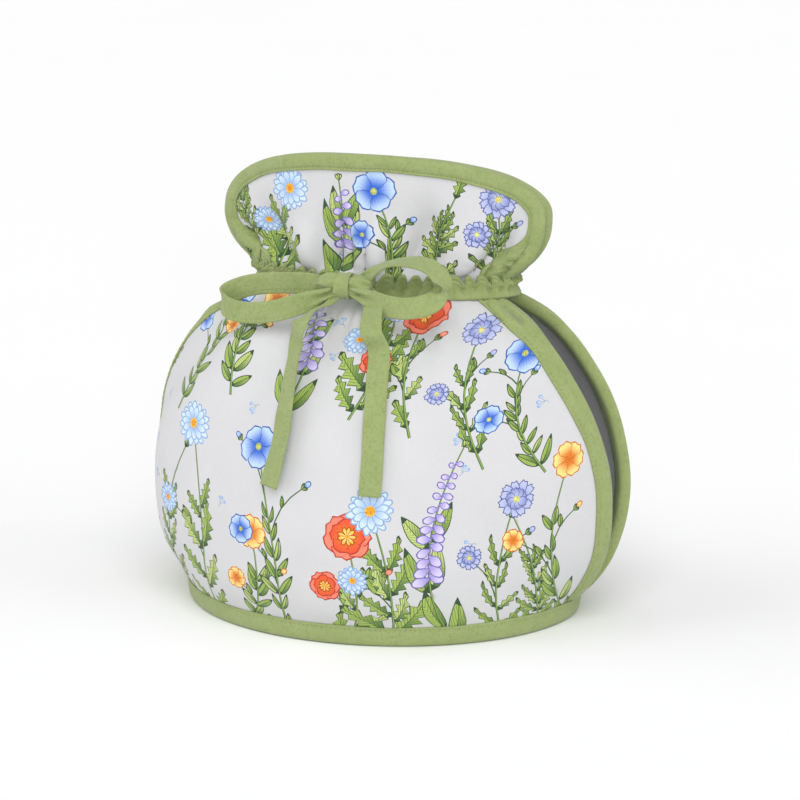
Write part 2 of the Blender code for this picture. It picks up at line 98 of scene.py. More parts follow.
# height, reach to either side, depth at the middle, half the gap, wrap in degrees to either side
sections = np.array((
    (0, 98.8, 97, 84.6, 2.2, 86, 87),
    (10, 101, 99, 86.5, 2.7, 84, 87),
    (17, 107.5, 104, 90.5, 4.2, 74, 86),
    (27, 114.5, 109.5, 94.5, 6.8, 62, 85),
    (42, 120.5, 114.5, 97, 9.8, 52, 83),
    (62, 123, 117, 97, 12.5, 46, 82),
    (84, 121, 115.5, 93.5, 14.5, 44, 82),
    (104, 114.5, 110.5, 86, 16, 44, 82),
    (122, 104.5, 101.5, 75, 17, 46, 82),
    (136, 94, 92, 62.5, 16, 50, 82),
    (147, 82, 81.5, 50.5, 13.5, 55, 80),
    (155, 68.5, 66, 40, 10, 62, 76),
    (160, 61, 57.5, 32.5, 7.8, 66, 70),
    (164.5, 58.5, 55.5, 28.5, 6.8, 64, 66),
    (170, 66, 67, 26.8, 5.8, 54, 56),
    (178, 76, 77, 26.5, 5, 44, 44),
    (188, 83, 82.2, 27, 4.3, 38, 38),
    (199, 84.8, 81, 27, 4, 36, 36),
    (210, 83.6, 77.6, 26.5, 4, 35, 35),
    (230, 81, 72.5, 25.5, 4, 35, 35),
))
# soft troughs and ridges: place across, height, half-width, reach up and down, depth
frontFolds = (
    (-0.84, 180, 0.1, 13, -2.6), (-0.6, 184, 0.11, 16, -3.4),
    (-0.36, 180, 0.09, 12, 1.8), (-0.14, 182, 0.1, 14, -2.4),
    (0.12, 180, 0.09, 12, 1.6), (0.34, 184, 0.1, 18, -3.6),
    (0.6, 180, 0.1, 13, 1.8), (0.8, 182, 0.09, 13, -2.6),
    (-0.72, 146, 0.1, 16, -2), (-0.44, 142, 0.1, 18, 1.6),
    (-0.22, 140, 0.09, 22, -2.4), (0.1, 146, 0.1, 14, 1.6),
    (0.42, 140, 0.11, 20, -2.2), (0.72, 144, 0.1, 16, 1.6),
    (-0.3, 88, 0.16, 40, -2.4), (0.24, 70, 0.2, 42, 1.6),
    (0.6, 84, 0.16, 36, -2.2), (-0.84, 66, 0.12, 34, -3.2),
    (-0.62, 62, 0.12, 34, 1.8), (-0.98, 88, 0.07, 52, -2.8),
)
backFolds = (
    (-0.8, 181, 0.1, 14, -2.8), (-0.52, 183, 0.1, 14, -3),
    (-0.26, 180, 0.1, 13, 1.8), (0.02, 183, 0.11, 16, -3.2),
    (0.3, 180, 0.09, 12, 1.6), (0.54, 183, 0.1, 15, -3),
    (0.82, 181, 0.1, 13, -2.4), (-0.64, 143, 0.11, 18, -2.2),
    (-0.3, 142, 0.1, 18, 1.6), (0.04, 138, 0.11, 24, -2.4),
    (0.38, 143, 0.1, 16, 1.6), (0.66, 142, 0.1, 18, -2),
    (-0.4, 76, 0.18, 38, 1.8), (0.08, 84, 0.18, 42, -2.6),
    (0.52, 70, 0.18, 38, 1.8),
)
# slanting creases: across and height at both ends, half-width in millimetres, depth
frontCreases = (
    (-0.44, 168, -0.7, 200, 5.5, -3), (-0.66, 168, -0.92, 190, 5, -2.4),
    (-0.16, 168, -0.24, 196, 5.5, -2.4), (0.22, 168, 0.16, 200, 6, -2.6),
    (0.5, 168, 0.4, 198, 5.5, -3), (0.66, 168, 0.9, 198, 6, -2.8),
    (-0.24, 152, -0.28, 100, 6.5, -2.2), (-0.5, 150, -0.86, 92, 8, -2.4),
    (0.34, 150, 0.52, 104, 8, -1.8), (0.62, 150, 0.86, 116, 7, -1.6),
    (-0.06, 152, 0.02, 118, 6, -1.5), (-0.92, 30, -0.56, 22, 6, -1.6),
)
backCreases = (
    (-0.5, 168, -0.72, 196, 5.5, -2.8), (-0.1, 168, -0.04, 194, 6, -2.6),
    (0.36, 168, 0.28, 196, 5.5, -2.6), (0.68, 168, 0.88, 192, 6, -2.6),
    (-0.46, 150, -0.78, 98, 8, -2.2), (0.12, 152, 0.2, 108, 7, -2),
    (0.52, 150, 0.8, 104, 8, -2),
)
cloth = {
    "thickness": 3.6, "foot": 1.65, "hemTop": 9.5, "neck": 163.5, "stillReach": 8.0,
    "cornerHeight": 199.0, "cornerPower": 2.33,
    "gathers": 8.0, "unevenness": 0.35, "lobeFolds": 2.4, "creaseScale": 95.0,
    # gathers above and below the neck: depth, height, reach
    "gatherAbove": (2.2, 175.0, 13.0), "gatherBelow": (1.2, 151.0, 9.0),
    # steps across and up for a normal, the flat map's overhang past both edges and its grid
    "probe": (0.004, 0.4), "overhang": 1.06, "columns": 213, "rows": 150,
}
# spacing of the mesh points: along the free edge and the foot, then outer and inner face,
# each away from the neck and at it
clothGrid = {
    "rim": 1.9, "foot": 2.4, "outer": (2.5, 1.5), "inner": (4.5, 2.6), "neckReach": 22.0,
    "mapSpan": 320.0, "mapStart": (0.5, 0.1),
}
frontShape = {"side": -1.0, "top": 227.2, "lobeDepth": 1.0, "folds": frontFolds,
              "creases": frontCreases, "turn": 0.4}
backShape = {"side": 1.0, "top": 220.0, "lobeDepth": 0.72, "folds": backFolds,
             "creases": backCreases, "turn": 2.1}


def plainPoint(shape, u, z):
    # the panel without its folds: u runs from -1 to 1 across it, z is the height
    row = smoothRead(sections[:, 0], sections, z)
    reach = np.where(u >= 0, row[..., 1], row[..., 2])
    wrap = np.radians(np.where(u >= 0, row[..., 5], row[..., 6]))
    crown = (np.cos(u * wrap) - np.cos(wrap)) / (1 - np.cos(wrap))
    lean = np.clip((z - cloth["neck"]) / (cloth["cornerHeight"] - cloth["neck"]), 0, 1)
    depth = row[..., 3] * (1 + (shape["lobeDepth"] - 1) * lean)
    depth = row[..., 4] + (depth - row[..., 4]) * crown
    return np.stack((reach * np.sin(u * wrap) / np.sin(wrap), shape["side"] * depth, z), -1)


def normalOf(shape, place, u, z):
    # outward normal of the surface that place gives
    du, dz = cloth["probe"]
    alongU = place(shape, u + du, z) - place(shape, u - du, z)
    alongZ = place(shape, u, z + dz) - place(shape, u, z - dz)
    return unit(np.cross(alongU, alongZ) * -shape["side"])


def foldDepth(shape, u, z):
    total = np.zeros_like(u)
    for place, height, width, reach, depth in shape["folds"]:
        if height > cloth["neck"]:
            depth = depth * cloth["lobeFolds"]
        total += depth * np.exp(-((u - place) / width) ** 2 - ((z - height) / reach) ** 2)
    flat = np.stack((u * cloth["creaseScale"], z), -1)
    for *ends, width, depth in shape["creases"]:
        start = np.array((ends[0] * cloth["creaseScale"], ends[1]))
        span = np.array((ends[2] * cloth["creaseScale"], ends[3])) - start
        share = np.clip(((flat - start) @ span) / (span @ span), 0, 1)
        away = np.linalg.norm(flat - start - share[..., None] * span, axis=-1)
        total += depth * (1 - 0.6 * share) * np.exp(-(away / width) ** 2)
    turn = shape["turn"]
    wave = np.cos(2 * math.pi * (cloth["gathers"] * u + 0.30 * np.sin(6.1 * u + turn)
                                 + 0.10 * np.sin(12.0 * u + 2 * turn)))
    wave = wave * (0.75 + 0.25 * np.sin(5.1 * u + 3 * turn))
    for key, here in (("gatherAbove", z > cloth["neck"]), ("gatherBelow", z <= cloth["neck"])):
        depth, height, reach = cloth[key]
        total += wave * (depth * np.exp(-((z - height) / reach) ** 2) * here)
    total += cloth["unevenness"] * (np.sin(9.0 * u + z / 17.0 + turn)
                                    * np.sin(z / 11.0 - 5.0 * u) + np.sin(14 * u - z / 23 + turn))
    still = np.exp(-(((z - cloth["neck"]) / cloth["stillReach"]) ** 4))
    rise = np.clip((z - cloth["hemTop"]) / cloth["hemTop"], 0, 1)
    return total * (1 - still) * rise


def clothPoint(shape, u, z):
    depth = foldDepth(shape, u, z)[..., None]
    return plainPoint(shape, u, z) + normalOf(shape, plainPoint, u, z) * depth


def clothFrame(shape, u, z):
    # the middle of the folded cloth and its outward normal, which is level at the hem
    normal = normalOf(shape, clothPoint, u, z)
    normal[..., 2] *= np.clip((z - cloth["hemTop"]) / cloth["hemTop"], 0, 1)
    return clothPoint(shape, u, z), unit(normal)


def rimReach(shape, z):
    # how far out the rounded collar runs at a height, as a share of the panel's reach
    rise = np.clip((z - cloth["cornerHeight"]) / (shape["top"] - cloth["cornerHeight"]), 0, 1)
    return (1 - rise ** cloth["cornerPower"]) ** (1 / cloth["cornerPower"])


def layFlat(shape):
    # the cloth laid flat: p across from the middle line, q up the middle line, in millimetres
    z = np.linspace(cloth["foot"], shape["top"], cloth["rows"])
    u = np.linspace(-cloth["overhang"], cloth["overhang"], cloth["columns"])
    middle = len(u) // 2
    points = plainPoint(shape, *np.meshgrid(u, z))
    steps = np.linalg.norm(np.diff(points, axis=1), axis=2)
    p = np.concatenate((np.zeros((len(z), 1)), np.cumsum(steps, axis=1)), axis=1)
    p -= p[:, [middle]]
    ends = np.stack([np.interp((-1.0, 1.0), u, row) for row in p])
    across = np.stack([np.interp(np.where(u < 0, -u * e[0], u * e[1]), row, u)
                       for row, e in zip(p, ends)])
    return {"z": z, "q": lengthAlong(points[:, middle]), "u": u, "p": p, "ends": ends,
            "across": across}


def gridRead(grid, rows, columns, r, c):
    # bilinear reading of a table
    r = np.interp(r, rows, np.arange(len(rows)))
    c = np.interp(c, columns, np.arange(len(columns)))
    i = np.clip(r.astype(int), 0, len(rows) - 2)
    j = np.clip(c.astype(int), 0, len(columns) - 2)
    fr, fc = r - i, c - j
    return ((grid[i, j] * (1 - fc) + grid[i, j + 1] * fc) * (1 - fr)
            + (grid[i + 1, j] * (1 - fc) + grid[i + 1, j + 1] * fc) * fr)


def flatFrom(flat, u, z):
    # places on the flat cloth for places on the worn one
    return np.stack((gridRead(flat["p"], flat["z"], flat["u"], z, u),
                     np.interp(z, flat["z"], flat["q"])), -1)


def wornFrom(flat, pq):
    # places on the worn cloth for places on the flat one
    z = np.interp(pq[..., 1], flat["q"], flat["z"])
    below = -np.interp(z, flat["z"], flat["ends"][:, 0])
    above = np.interp(z, flat["z"], flat["ends"][:, 1])
    share = np.where(pq[..., 0] < 0, pq[..., 0] / below, pq[..., 0] / above)
    return gridRead(flat["across"], flat["z"], flat["u"], z, share), z


def rimLine(shape, flat, spacing):
    # the panel's free edge laid flat, from one foot over the collar to the other
    count = 160
    sides = np.linspace(cloth["foot"], cloth["cornerHeight"], count)
    turn = np.linspace(0, math.pi, count)[1:-1]
    power = 2 / cloth["cornerPower"]
    over = np.sign(np.cos(turn)) * np.abs(np.cos(turn)) ** power
    rise = cloth["cornerHeight"] + (shape["top"] - cloth["cornerHeight"]) * np.sin(turn) ** power
    u = np.concatenate((np.ones(count), over, -np.ones(count)))
    z = np.concatenate((sides, rise, sides[::-1]))
    return spread(flatFrom(flat, u, z), spacing)


def spread(line, spacing):
    # the same line with its points evenly apart
    length = lengthAlong(line)
    at = np.linspace(0, length[-1], max(int(length[-1] / spacing), 2) + 1)
    return np.stack([np.interp(at, length, line[:, k]) for k in range(line.shape[1])], -1)


frontFlat, backFlat = layFlat(frontShape), layFlat(backShape)
print("shape of the panels ready")

ink = {
    "leafLine": tint("2F4728"), "leafDark": tint("4E7038"), "leafLight": tint("9DB556"),
    "leafPale": tint("BCCB78"), "stem": tint("3F5D30"), "stemLight": tint("86A44C"),
    "skyLine": tint("86A3CC"), "sky": tint("C9DCF1"), "skyDeep": tint("9DBCE4"),
    "cobaltLine": tint("2F57A8"), "cobalt": tint("2E66CF"), "cobaltPale": tint("BCD4F3"),
    "coralLine": tint("B2371F"), "coral": tint("E5502F"), "coralPale": tint("F7A98C"),
    "pink": tint("F2846C"), "yolk": tint("F4B92E"), "yolkDeep": tint("DE7A18"),
    "butter": tint("FBE08A"), "orangeLine": tint("C96A15"),
    "lilacLine": tint("6B5FA6"), "lilac": tint("A394D6"), "lilacPale": tint("D3CAEE"),
    "duskLine": tint("5D6699"), "dusk": tint("8D96C8"), "duskPale": tint("B9BFE3"),
    "mist": tint("8CA3BD"),
}
# what the shader draws inside a shape: none, leaf veins, petal streaks, seed dots
plainFill, veins, streaks, dots = 0.0, 1.0, 2.0, 3.0


def polar(angle, length=1.0):
    return np.array((math.cos(angle), math.sin(angle))) * length


def ribbon(line, wide, narrow):
    along = np.gradient(line, axis=0)
    side = unit(np.stack((-along[:, 1], along[:, 0]), -1))
    half = np.linspace(wide, narrow, len(line))[:, None] / 2
    return np.concatenate((line + side * half, (line - side * half)[::-1]))


def addShape(shapes, points, start, along, across, near, far, drawing=plainFill):
    # outlines always run anticlockwise
    points = np.asarray(points)
    x, y = points.T
    if np.dot(x, np.roll(y, -1)) < np.dot(y, np.roll(x, -1)):
        points = points[::-1]
    shapes.append((points, start, along, across, near, far, drawing))


def addStem(shapes, line, wide, narrow):
    # a dark line, with a lighter one inside where it is wide
    start, along = line[0], line[-1] - line[0]
    across = np.array((-along[1], along[0])) * 0.1
    addShape(shapes, ribbon(line, wide, narrow), start, along, across, "stem", "stem")
    if wide > 1.0:
        core = ribbon(line + np.array((0.12, 0.0)), wide * 0.45, narrow * 0.4)
        addShape(shapes, core, start, along, across, "stemLight", "stemLight")


def addLeaf(shapes, start, angle, length, width, bend=0.2, teeth=0, pale="leafLight"):
    # a dark leaf with two lighter halves inside its outline, so the edge and the midrib stay dark
    count = 2 * teeth + 3 if teeth else 8
    t = np.linspace(0, 1, count)
    along, side = polar(angle), polar(angle + math.pi / 2)
    middle = start + np.outer(t * length, along) + np.outer(bend * length * t * t * 0.9, side)
    half = width / 2 * np.sin(math.pi * t ** 0.85) ** 0.8
    if teeth:
        # lobes that point on towards the tip
        half = half * np.where(np.arange(count) % 2 == 0, 0.42, 1.2)
        half[-1] = 0
        middle[1:-1:2] += along * length * 0.35 / count
    half = half[:, None]
    frameSide = side * width / 2
    outline = np.concatenate((middle + side * (half + 0.25), (middle - side * (half + 0.25))[::-1]))
    addShape(shapes, outline, start, along * length, frameSide, "leafLine", "leafLine")
    cut = slice(1, -1)
    for sign, colour in ((1, pale), (-1, "leafDark")):
        edge = middle[cut] + sign * side * np.maximum(half[cut] - 0.22, 0.18)
        rib = middle[cut] + sign * side * 0.16
        addShape(shapes, np.concatenate((rib, edge[::-1])), start, along * length, frameSide,
                 colour, pale, veins)


def petalOutline(start, angle, length, width, grow=0.0, ruffle=0.0, notch=0.0, count=6):
    t = np.linspace(0, 1, count)
    half = width / 2 * np.sin(math.pi * (0.06 + 0.86 * t) ** 1.35) ** 0.75
    half = np.maximum(half + grow, 0.08)
    along, side = polar(angle), polar(angle + math.pi / 2)
    reach = t * (length + grow)
    wobble = 1 + ruffle * np.cos(np.arange(count) * 2.4)
    left = start + np.outer(reach, along) + np.outer(half * wobble, side)
    right = start + np.outer(reach, along) - np.outer(half * wobble[::-1], side)
    tip = start + along * (length * (1.04 - notch) + grow)
    return np.concatenate((left, [tip], right[::-1]))


def addPetal(shapes, start, angle, length, width, line, near, far, **look):
    along, across = polar(angle, length), polar(angle + math.pi / 2, width / 2)
    addShape(shapes, petalOutline(start, angle, length, width, 0.28, **look), start, along, across,
             line, line)
    inside = petalOutline(start + along * 0.04, angle, length * 0.93, width, -0.12, **look)
    addShape(shapes, inside, start, along, across, near, far, streaks)


def addDisc(shapes, centre, radius, near, far):
    count = 12
    turns = np.arange(count) * 2 * math.pi / count
    points = centre + np.stack((np.cos(turns), np.sin(turns)), -1) * radius
    addShape(shapes, points, centre, np.array((radius, 0.0)), np.array((0.0, radius)), near, far,
             dots)


def petalRing(shapes, rng, centre, number, heart, length, width, colours, first=0.0, shift=0.0,
              jitter=0.0, reach=None, notches=(0.0, 0.0), **look):
    # petals round a heart: the turn and the length of each are drawn only where they vary
    for k in range(number):
        turn = first + 2 * math.pi * (k + shift) / number
        if jitter:
            turn += rng.uniform(-jitter, jitter)
        long = length * rng.uniform(*reach) if reach else length
        addPetal(shapes, centre + polar(turn, heart), turn, long, width, *colours,
                 notch=notches[k % 2], **look)


def daisy(shapes, rng, centre, radius):
    for number, scale, shift, near in ((15, 1.0, 0.0, "sky"), (11, 0.78, 0.5, "skyDeep")):
        petalRing(shapes, rng, centre, number, radius * 0.12, radius * scale, radius * 0.34,
                  ("skyLine", near, "sky"), shift=shift, jitter=0.06, reach=(0.8, 0.95))
    addDisc(shapes, centre, radius * 0.24, "yolkDeep", "yolk")


def flax(shapes, rng, centre, radius):
    petalRing(shapes, rng, centre, 5, radius * 0.08, radius, radius * 1.02,
              ("cobaltLine", "cobalt", "cobaltPale"), first=rng.uniform(0, 6.28), jitter=0.08,
              reach=(0.86, 1.0), notches=(0.08, 0.08), ruffle=0.07, count=8)
    addDisc(shapes, centre, radius * 0.17, "butter", "leafLight")


def poppy(shapes, rng, centre, radius):
    for number, scale, wide, near, far in ((6, 1.0, 1.02, "coral", "pink"),
                                           (5, 0.72, 1.02, "yolkDeep", "coral"),
                                           (9, 0.36, 0.45, "butter", "yolk")):
        petalRing(shapes, rng, centre, number, radius * 0.06, radius * scale,
                  radius * scale * wide, ("coralLine", near, far), first=rng.uniform(0, 6.28),
                  jitter=0.15, notches=(0.0, 0.12), ruffle=0.16, count=8)
    addDisc(shapes, centre, radius * 0.12, "yolkDeep", "yolk")


def marigold(shapes, rng, centre, radius):
    petalRing(shapes, rng, centre, 6, radius * 0.1, radius, radius * 0.92,
              ("orangeLine", "yolkDeep", "butter"), first=rng.uniform(0, 6.28),
              reach=(0.85, 1.0), notches=(0.1, 0.1), ruffle=0.1, count=7)
    addDisc(shapes, centre, radius * 0.26, "orangeLine", "yolkDeep")


def scabious(shapes, rng, centre, radius):
    for number, scale, shift, heart, near, far in ((11, 1.0, 0.0, 0.14, "dusk", "duskPale"),
                                                   (8, 0.66, 0.5, 0.0, "duskPale", "dusk")):
        petalRing(shapes, rng, centre, number, radius * heart, radius * scale, radius * 0.5,
                  ("duskLine", near, far), shift=shift, jitter=0.1, reach=(0.85, 1.0),
                  notches=(0.12, 0.12), ruffle=0.1)
    addDisc(shapes, centre, radius * 0.2, "butter", "leafPale")


def bud(shapes, centre, radius, angle, colour, pale, line):
    addPetal(shapes, centre, angle, radius * 1.5, radius * 0.8, line, colour, pale)
    for turn in (-0.5, 0.45):
        addPetal(shapes, centre - polar(angle, radius * 0.25), angle + turn, radius * 0.95,
                 radius * 0.42, "leafLine", "leafLight", "leafDark")


def bells(shapes, rng, spotAt, length):
    # a spike of hanging bells up the stem, large below and closed at the tip
    rows = int(length / 5.0)
    for k in range(rows):
        t = k / rows
        size = 8.6 * (1 - 0.6 * t)
        spot, ahead = spotAt(0.42 + 0.54 * t), spotAt(0.46 + 0.54 * t)
        angle = math.atan2(*(ahead - spot)[::-1])
        for side in (1, -1):
            turn = angle - math.pi + side * rng.uniform(0.75, 1.25) + side * 0.7 * t
            where = spot + polar(angle + side * math.pi / 2, 0.4) + polar(angle, side * 1.0)
            addPetal(shapes, where, turn, size * rng.uniform(0.85, 1.1), size * 0.58, "lilacLine",
                     "lilac", "lilacPale", count=6, ruffle=0.08)
    for k in range(3):
        addPetal(shapes, spotAt(1.0), angle + 0.5 * (k - 1), 3.0, 1.4, "leafLine", "leafLight",
                 "leafPale", count=4)


def sprig(shapes, rng, centre, size):
    angle = rng.uniform(0, 6.28)
    for k in range(4):
        turn = angle + (0.0, 0.75, 1.3, 3.3)[k]
        line = centre + np.outer(np.linspace(0, 1, 4) * size, polar(turn))
        line[1:3] += polar(turn + 1.57, 0.25)
        addShape(shapes, ribbon(line, 0.35, 0.25), centre, polar(turn, size), polar(turn, 1),
                 "mist", "mist")
        if k < 3:
            addPetal(shapes, line[-1], turn, size * 0.8, size * 0.55, "skyLine", "sky", "skyDeep",
                     count=4)


# each plant: its blossom, blossom radius, leaf length and width, leaf pairs, teeth, side shoots
plants = {
    "daisy": (daisy, 10.5, 26, 9, 4, 4, 1),
    "flax": (flax, 10.5, 13, 3.6, 7, 0, 3),
    "poppy": (poppy, 10.5, 20, 7.6, 4, 3, 2),
    "marigold": (marigold, 8.2, 15, 5.2, 5, 0, 2),
    "scabious": (scabious, 8.6, 19, 4.6, 4, 3, 2),
    "bells": (None, 0, 24, 8, 3, 0, 0),
    "fern": (None, 0, 16, 5.4, 7, 3, 0),
}
budColours = {
    "flax": ("cobalt", "cobaltPale", "cobaltLine"), "poppy": ("coral", "coralPale", "coralLine"),
    "marigold": ("yolkDeep", "butter", "orangeLine"), "daisy": ("skyDeep", "sky", "skyLine"),
    "scabious": ("dusk", "duskPale", "duskLine"),
}
# each plant's kind, the foot of its stem across and up, height, lean in degrees
frontPlants = (
    ("bells", -138, -6, 112, 4), ("poppy", -112, -8, 78, -10), ("fern", -92, -4, 92, 8),
    ("daisy", -66, -8, 104, -3), ("marigold", -40, -6, 58, 12), ("flax", -16, -8, 100, -6),
    ("poppy", 14, -8, 62, 8), ("daisy", 36, -6, 72, -2), ("bells", 66, -8, 108, 3),
    ("scabious", 90, -6, 76, 8), ("fern", 112, -6, 70, -8), ("marigold", 136, -6, 92, -6),
    ("scabious", -122, 112, 66, 12), ("flax", -88, 104, 74, 14), ("marigold", -52, 118, 54, 6),
    ("bells", -18, 108, 78, -4), ("daisy", 16, 112, 62, 6), ("poppy", 46, 104, 66, -8),
    ("scabious", 84, 88, 72, -14), ("flax", 116, 84, 62, -22),
    ("fern", -70, 196, 44, -12), ("daisy", -46, 186, 46, 4), ("bells", -14, 190, 52, 3),
    ("flax", 14, 184, 50, -6), ("fern", 38, 190, 46, 10), ("scabious", 62, 192, 40, 8),
)
backPlants = (
    ("fern", -136, -6, 90, 6), ("daisy", -108, -8, 96, 6), ("bells", -78, -6, 106, -4),
    ("marigold", -52, -8, 66, 8), ("poppy", -24, -6, 88, -8), ("scabious", 4, -8, 70, 6),
    ("flax", 32, -6, 104, 5), ("daisy", 62, -8, 74, -8), ("fern", 84, -6, 96, 6),
    ("poppy", 110, -8, 72, -4), ("bells", 136, -6, 100, -4),
    ("flax", -110, 108, 70, 14), ("poppy", -72, 112, 60, 8), ("daisy", -30, 100, 76, 4),
    ("marigold", 4, 114, 58, -8), ("bells", 40, 106, 76, -6), ("scabious", 76, 104, 70, -10),
    ("marigold", 112, 96, 60, -20),
    ("marigold", -58, 190, 40, -8), ("fern", -30, 188, 46, -6), ("scabious", 0, 186, 44, 5),
    ("bells", 30, 188, 46, 2), ("daisy", 58, 188, 38, 8),
)


def growStem(start, angle, length, sway):
    t = np.linspace(0, 1, max(int(length / 7), 5))
    along, side = polar(angle), polar(angle + math.pi / 2)
    bow = sway * length * (np.sin(t * 2.9) * 0.55 - t * 0.2)
    return start + np.outer(t * length, along) + np.outer(bow, side)


def growPlant(shapes, heads, rng, kind, p, q, height, lean):
    blossom, radius, leafLength, leafWidth, pairs, teeth, shoots = plants[kind]
    angle = math.pi / 2 - math.radians(lean)
    start = np.array((p, q), float)
    line = growStem(start, angle, height, rng.choice((-1, 1)) * rng.uniform(0.1, 0.26))
    heading = math.atan2(*(line[-1] - line[-2])[::-1])

    def spotAt(t):
        k = t * (len(line) - 1)
        i = min(int(k), len(line) - 2)
        return line[i] + (line[i + 1] - line[i]) * (k - i)

    for k in range(shoots):
        t = 0.38 + 0.2 * k + rng.uniform(-0.04, 0.04)
        side = 1 if (k + int(abs(p))) % 2 else -1
        reach = height * rng.uniform(0.24, 0.32)
        turn = angle - side * rng.uniform(0.5, 0.75)
        shoot = growStem(spotAt(t), turn, reach, side * 0.22)
        addStem(shapes, shoot, 0.8, 0.55)
        tip = math.atan2(*(shoot[-1] - shoot[-2])[::-1])
        addLeaf(shapes, shoot[len(shoot) // 2], tip + side * 0.7, leafLength * 0.45,
                leafWidth * 0.55)
        if k == 0 and radius > 7:
            blossom(heads, rng, shoot[-1] + polar(tip, radius * 0.5), radius * 0.66)
        else:
            bud(heads, shoot[-1], 3.1, tip, *budColours[kind])
    top = 0.92 if blossom else 0.88
    for k in range(pairs):
        t = 0.06 + (top - 0.2) * k / pairs
        size = leafLength * (1 - 0.45 * t) * rng.uniform(0.8, 1.2)
        for side in ((1, -1) if kind != "poppy" else (1 - 2 * (k % 2),)):
            turn = angle + side * rng.uniform(0.45, 1.05) * (1 - 0.25 * t)
            addLeaf(shapes, spotAt(t + rng.uniform(0, 0.07)), turn, size, leafWidth * size
                    / leafLength, -side * rng.uniform(0.0, 0.5), teeth,
                    "leafPale" if (k + side) % 3 == 0 else "leafLight")
    addStem(shapes, line, 1.35, 0.75)
    if kind == "bells":
        bells(heads, rng, spotAt, height * 0.56)
    elif kind == "fern":
        addLeaf(shapes, line[-1], heading, leafLength * 0.8, leafWidth, 0.1, teeth)
    else:
        blossom(heads, rng, line[-1] + polar(heading, radius * 0.4), radius)


def printShapes(table, seed):
    # the stems and leaves of every plant lie under all the blossoms
    rng = random.Random(seed)
    shapes, heads = [], []
    for k in range(26):
        p, q = rng.uniform(-135, 135), rng.uniform(12, 240)
        sprig(shapes, rng, np.array((p, q)), rng.uniform(1.8, 2.6))
    for row in table:
        growPlant(shapes, heads, rng, *row)
    return shapes + heads


def newPiece(name, points, faces, material):
    mesh = bpy.data.meshes.new(name)
    mesh.from_pydata(toScene(points).tolist(), [], [tuple(map(int, f)) for f in faces])
    mesh.materials.append(material)
    mesh.shade_smooth()
    return addObject(name, mesh)


def cutCloth(rim, inner, shapes):
    # triangles of the flat cloth with every printed shape cut into it, and each one's top shape
    points = [rim, inner]
    faces = [list(range(len(rim)))]
    count = len(rim) + len(inner)
    for shape in shapes:
        points.append(shape[0])
        faces.append(list(range(count, count + len(shape[0]))))
        count += len(shape[0])
    flat = [Vector(v) for v in np.concatenate(points).tolist()]
    verts, _, tris, fromVerts, _, fromFaces = delaunay_2d_cdt(flat, [], faces, 1, 1e-4, True)
    keep = [k for k, ids in enumerate(fromFaces) if 0 in ids]
    tris = np.array([tris[k] for k in keep])
    verts = np.array([tuple(v) for v in verts])
    low = [shape[0].min(axis=0) for shape in shapes]
    high = [shape[0].max(axis=0) for shape in shapes]
    top = np.full(len(tris), -1)
    for row, (k, middle) in enumerate(zip(keep, verts[tris].mean(axis=1))):
        for face in sorted(fromFaces[k], reverse=True)[:-1]:
            if (middle > low[face - 1]).all() and (middle < high[face - 1]).all():
                top[row] = face - 1
                break
    return verts, tris, top, fromVerts


def lattice(shape, flat, spacing, fineSpacing):
    # rows of points inside the flat cloth, closer together at the neck
    rows = []
    q, odd = 1.5, 0
    neckQ = np.interp(cloth["neck"], flat["z"], flat["q"])
    while q < flat["q"][-1] - 1:
        near = math.exp(-((q - neckQ) / clothGrid["neckReach"]) ** 2)
        step = spacing + (fineSpacing - spacing) * near
        z = np.interp(q, flat["q"], flat["z"])
        reach = rimReach(shape, z)
        ends = [np.interp(z, flat["z"], flat["ends"][:, k]) * reach for k in (0, 1)]
        if ends[1] - ends[0] > 4 * step:
            line = np.arange(ends[0] + 1.2 + 0.5 * step * odd, ends[1] - 1.0, step)
            rows.append(np.stack((line, np.full(len(line), q)), -1))
        q += step * 0.87
        odd = 1 - odd
    return np.concatenate(rows)


def edgeLoop(tris):
    # the open edge of a triangle sheet, as one ring of its points in order
    edges = np.concatenate([tris[:, [0, 1]], tris[:, [1, 2]], tris[:, [2, 0]]])
    known = {(int(a), int(b)) for a, b in edges}
    after = {a: b for a, b in known if (b, a) not in known}
    loop = [next(iter(after))]
    while after[loop[-1]] != loop[0]:
        loop.append(after[loop[-1]])
    return loop


def clothPiece(name, shape, flat, table, seed, material):
    # outer and inner face of one padded panel, joined round its edge
    rim = rimLine(shape, flat, clothGrid["rim"])
    foot = flatFrom(flat, np.linspace(-1, 1, 200), np.full(200, cloth["foot"]))
    foot = spread(foot, clothGrid["foot"])
    border = np.concatenate((rim, foot[1:-1]))
    shapes = printShapes(table, seed)
    outer, tris, top, _ = cutCloth(border, lattice(shape, flat, *clothGrid["outer"]), shapes)
    loop = edgeLoop(tris)
    inside = lattice(shape, flat, *clothGrid["inner"])
    inner, innerTris, _, origin = cutCloth(outer[loop], inside, [])
    place = {source: k for k, sources in enumerate(origin) for source in sources}
    half = cloth["thickness"] / 2
    points = []
    for pq, offset in ((outer, half), (inner, -half)):
        spot, normal = clothFrame(shape, *wornFrom(flat, pq))
        points.append(spot + normal * offset)
    faces = [tuple(t) for t in tris] + [tuple(t[::-1] + len(outer)) for t in innerTris]
    for k, a in enumerate(loop):
        b = loop[(k + 1) % len(loop)]
        c, d = (place[(k + 1) % len(loop)] + len(outer), place[k] + len(outer))
        faces.append((b, a, d, c) if c != d else (b, a, d))
    if shape["side"] > 0:
        faces = [face[::-1] for face in faces]
    piece = newPiece(name, np.concatenate(points), faces, material)
    paintCloth(piece, np.concatenate((outer, inner)), top, shapes, len(tris))
    print(name, len(shapes), "printed shapes,", len(tris), "outer triangles")
    return piece, border


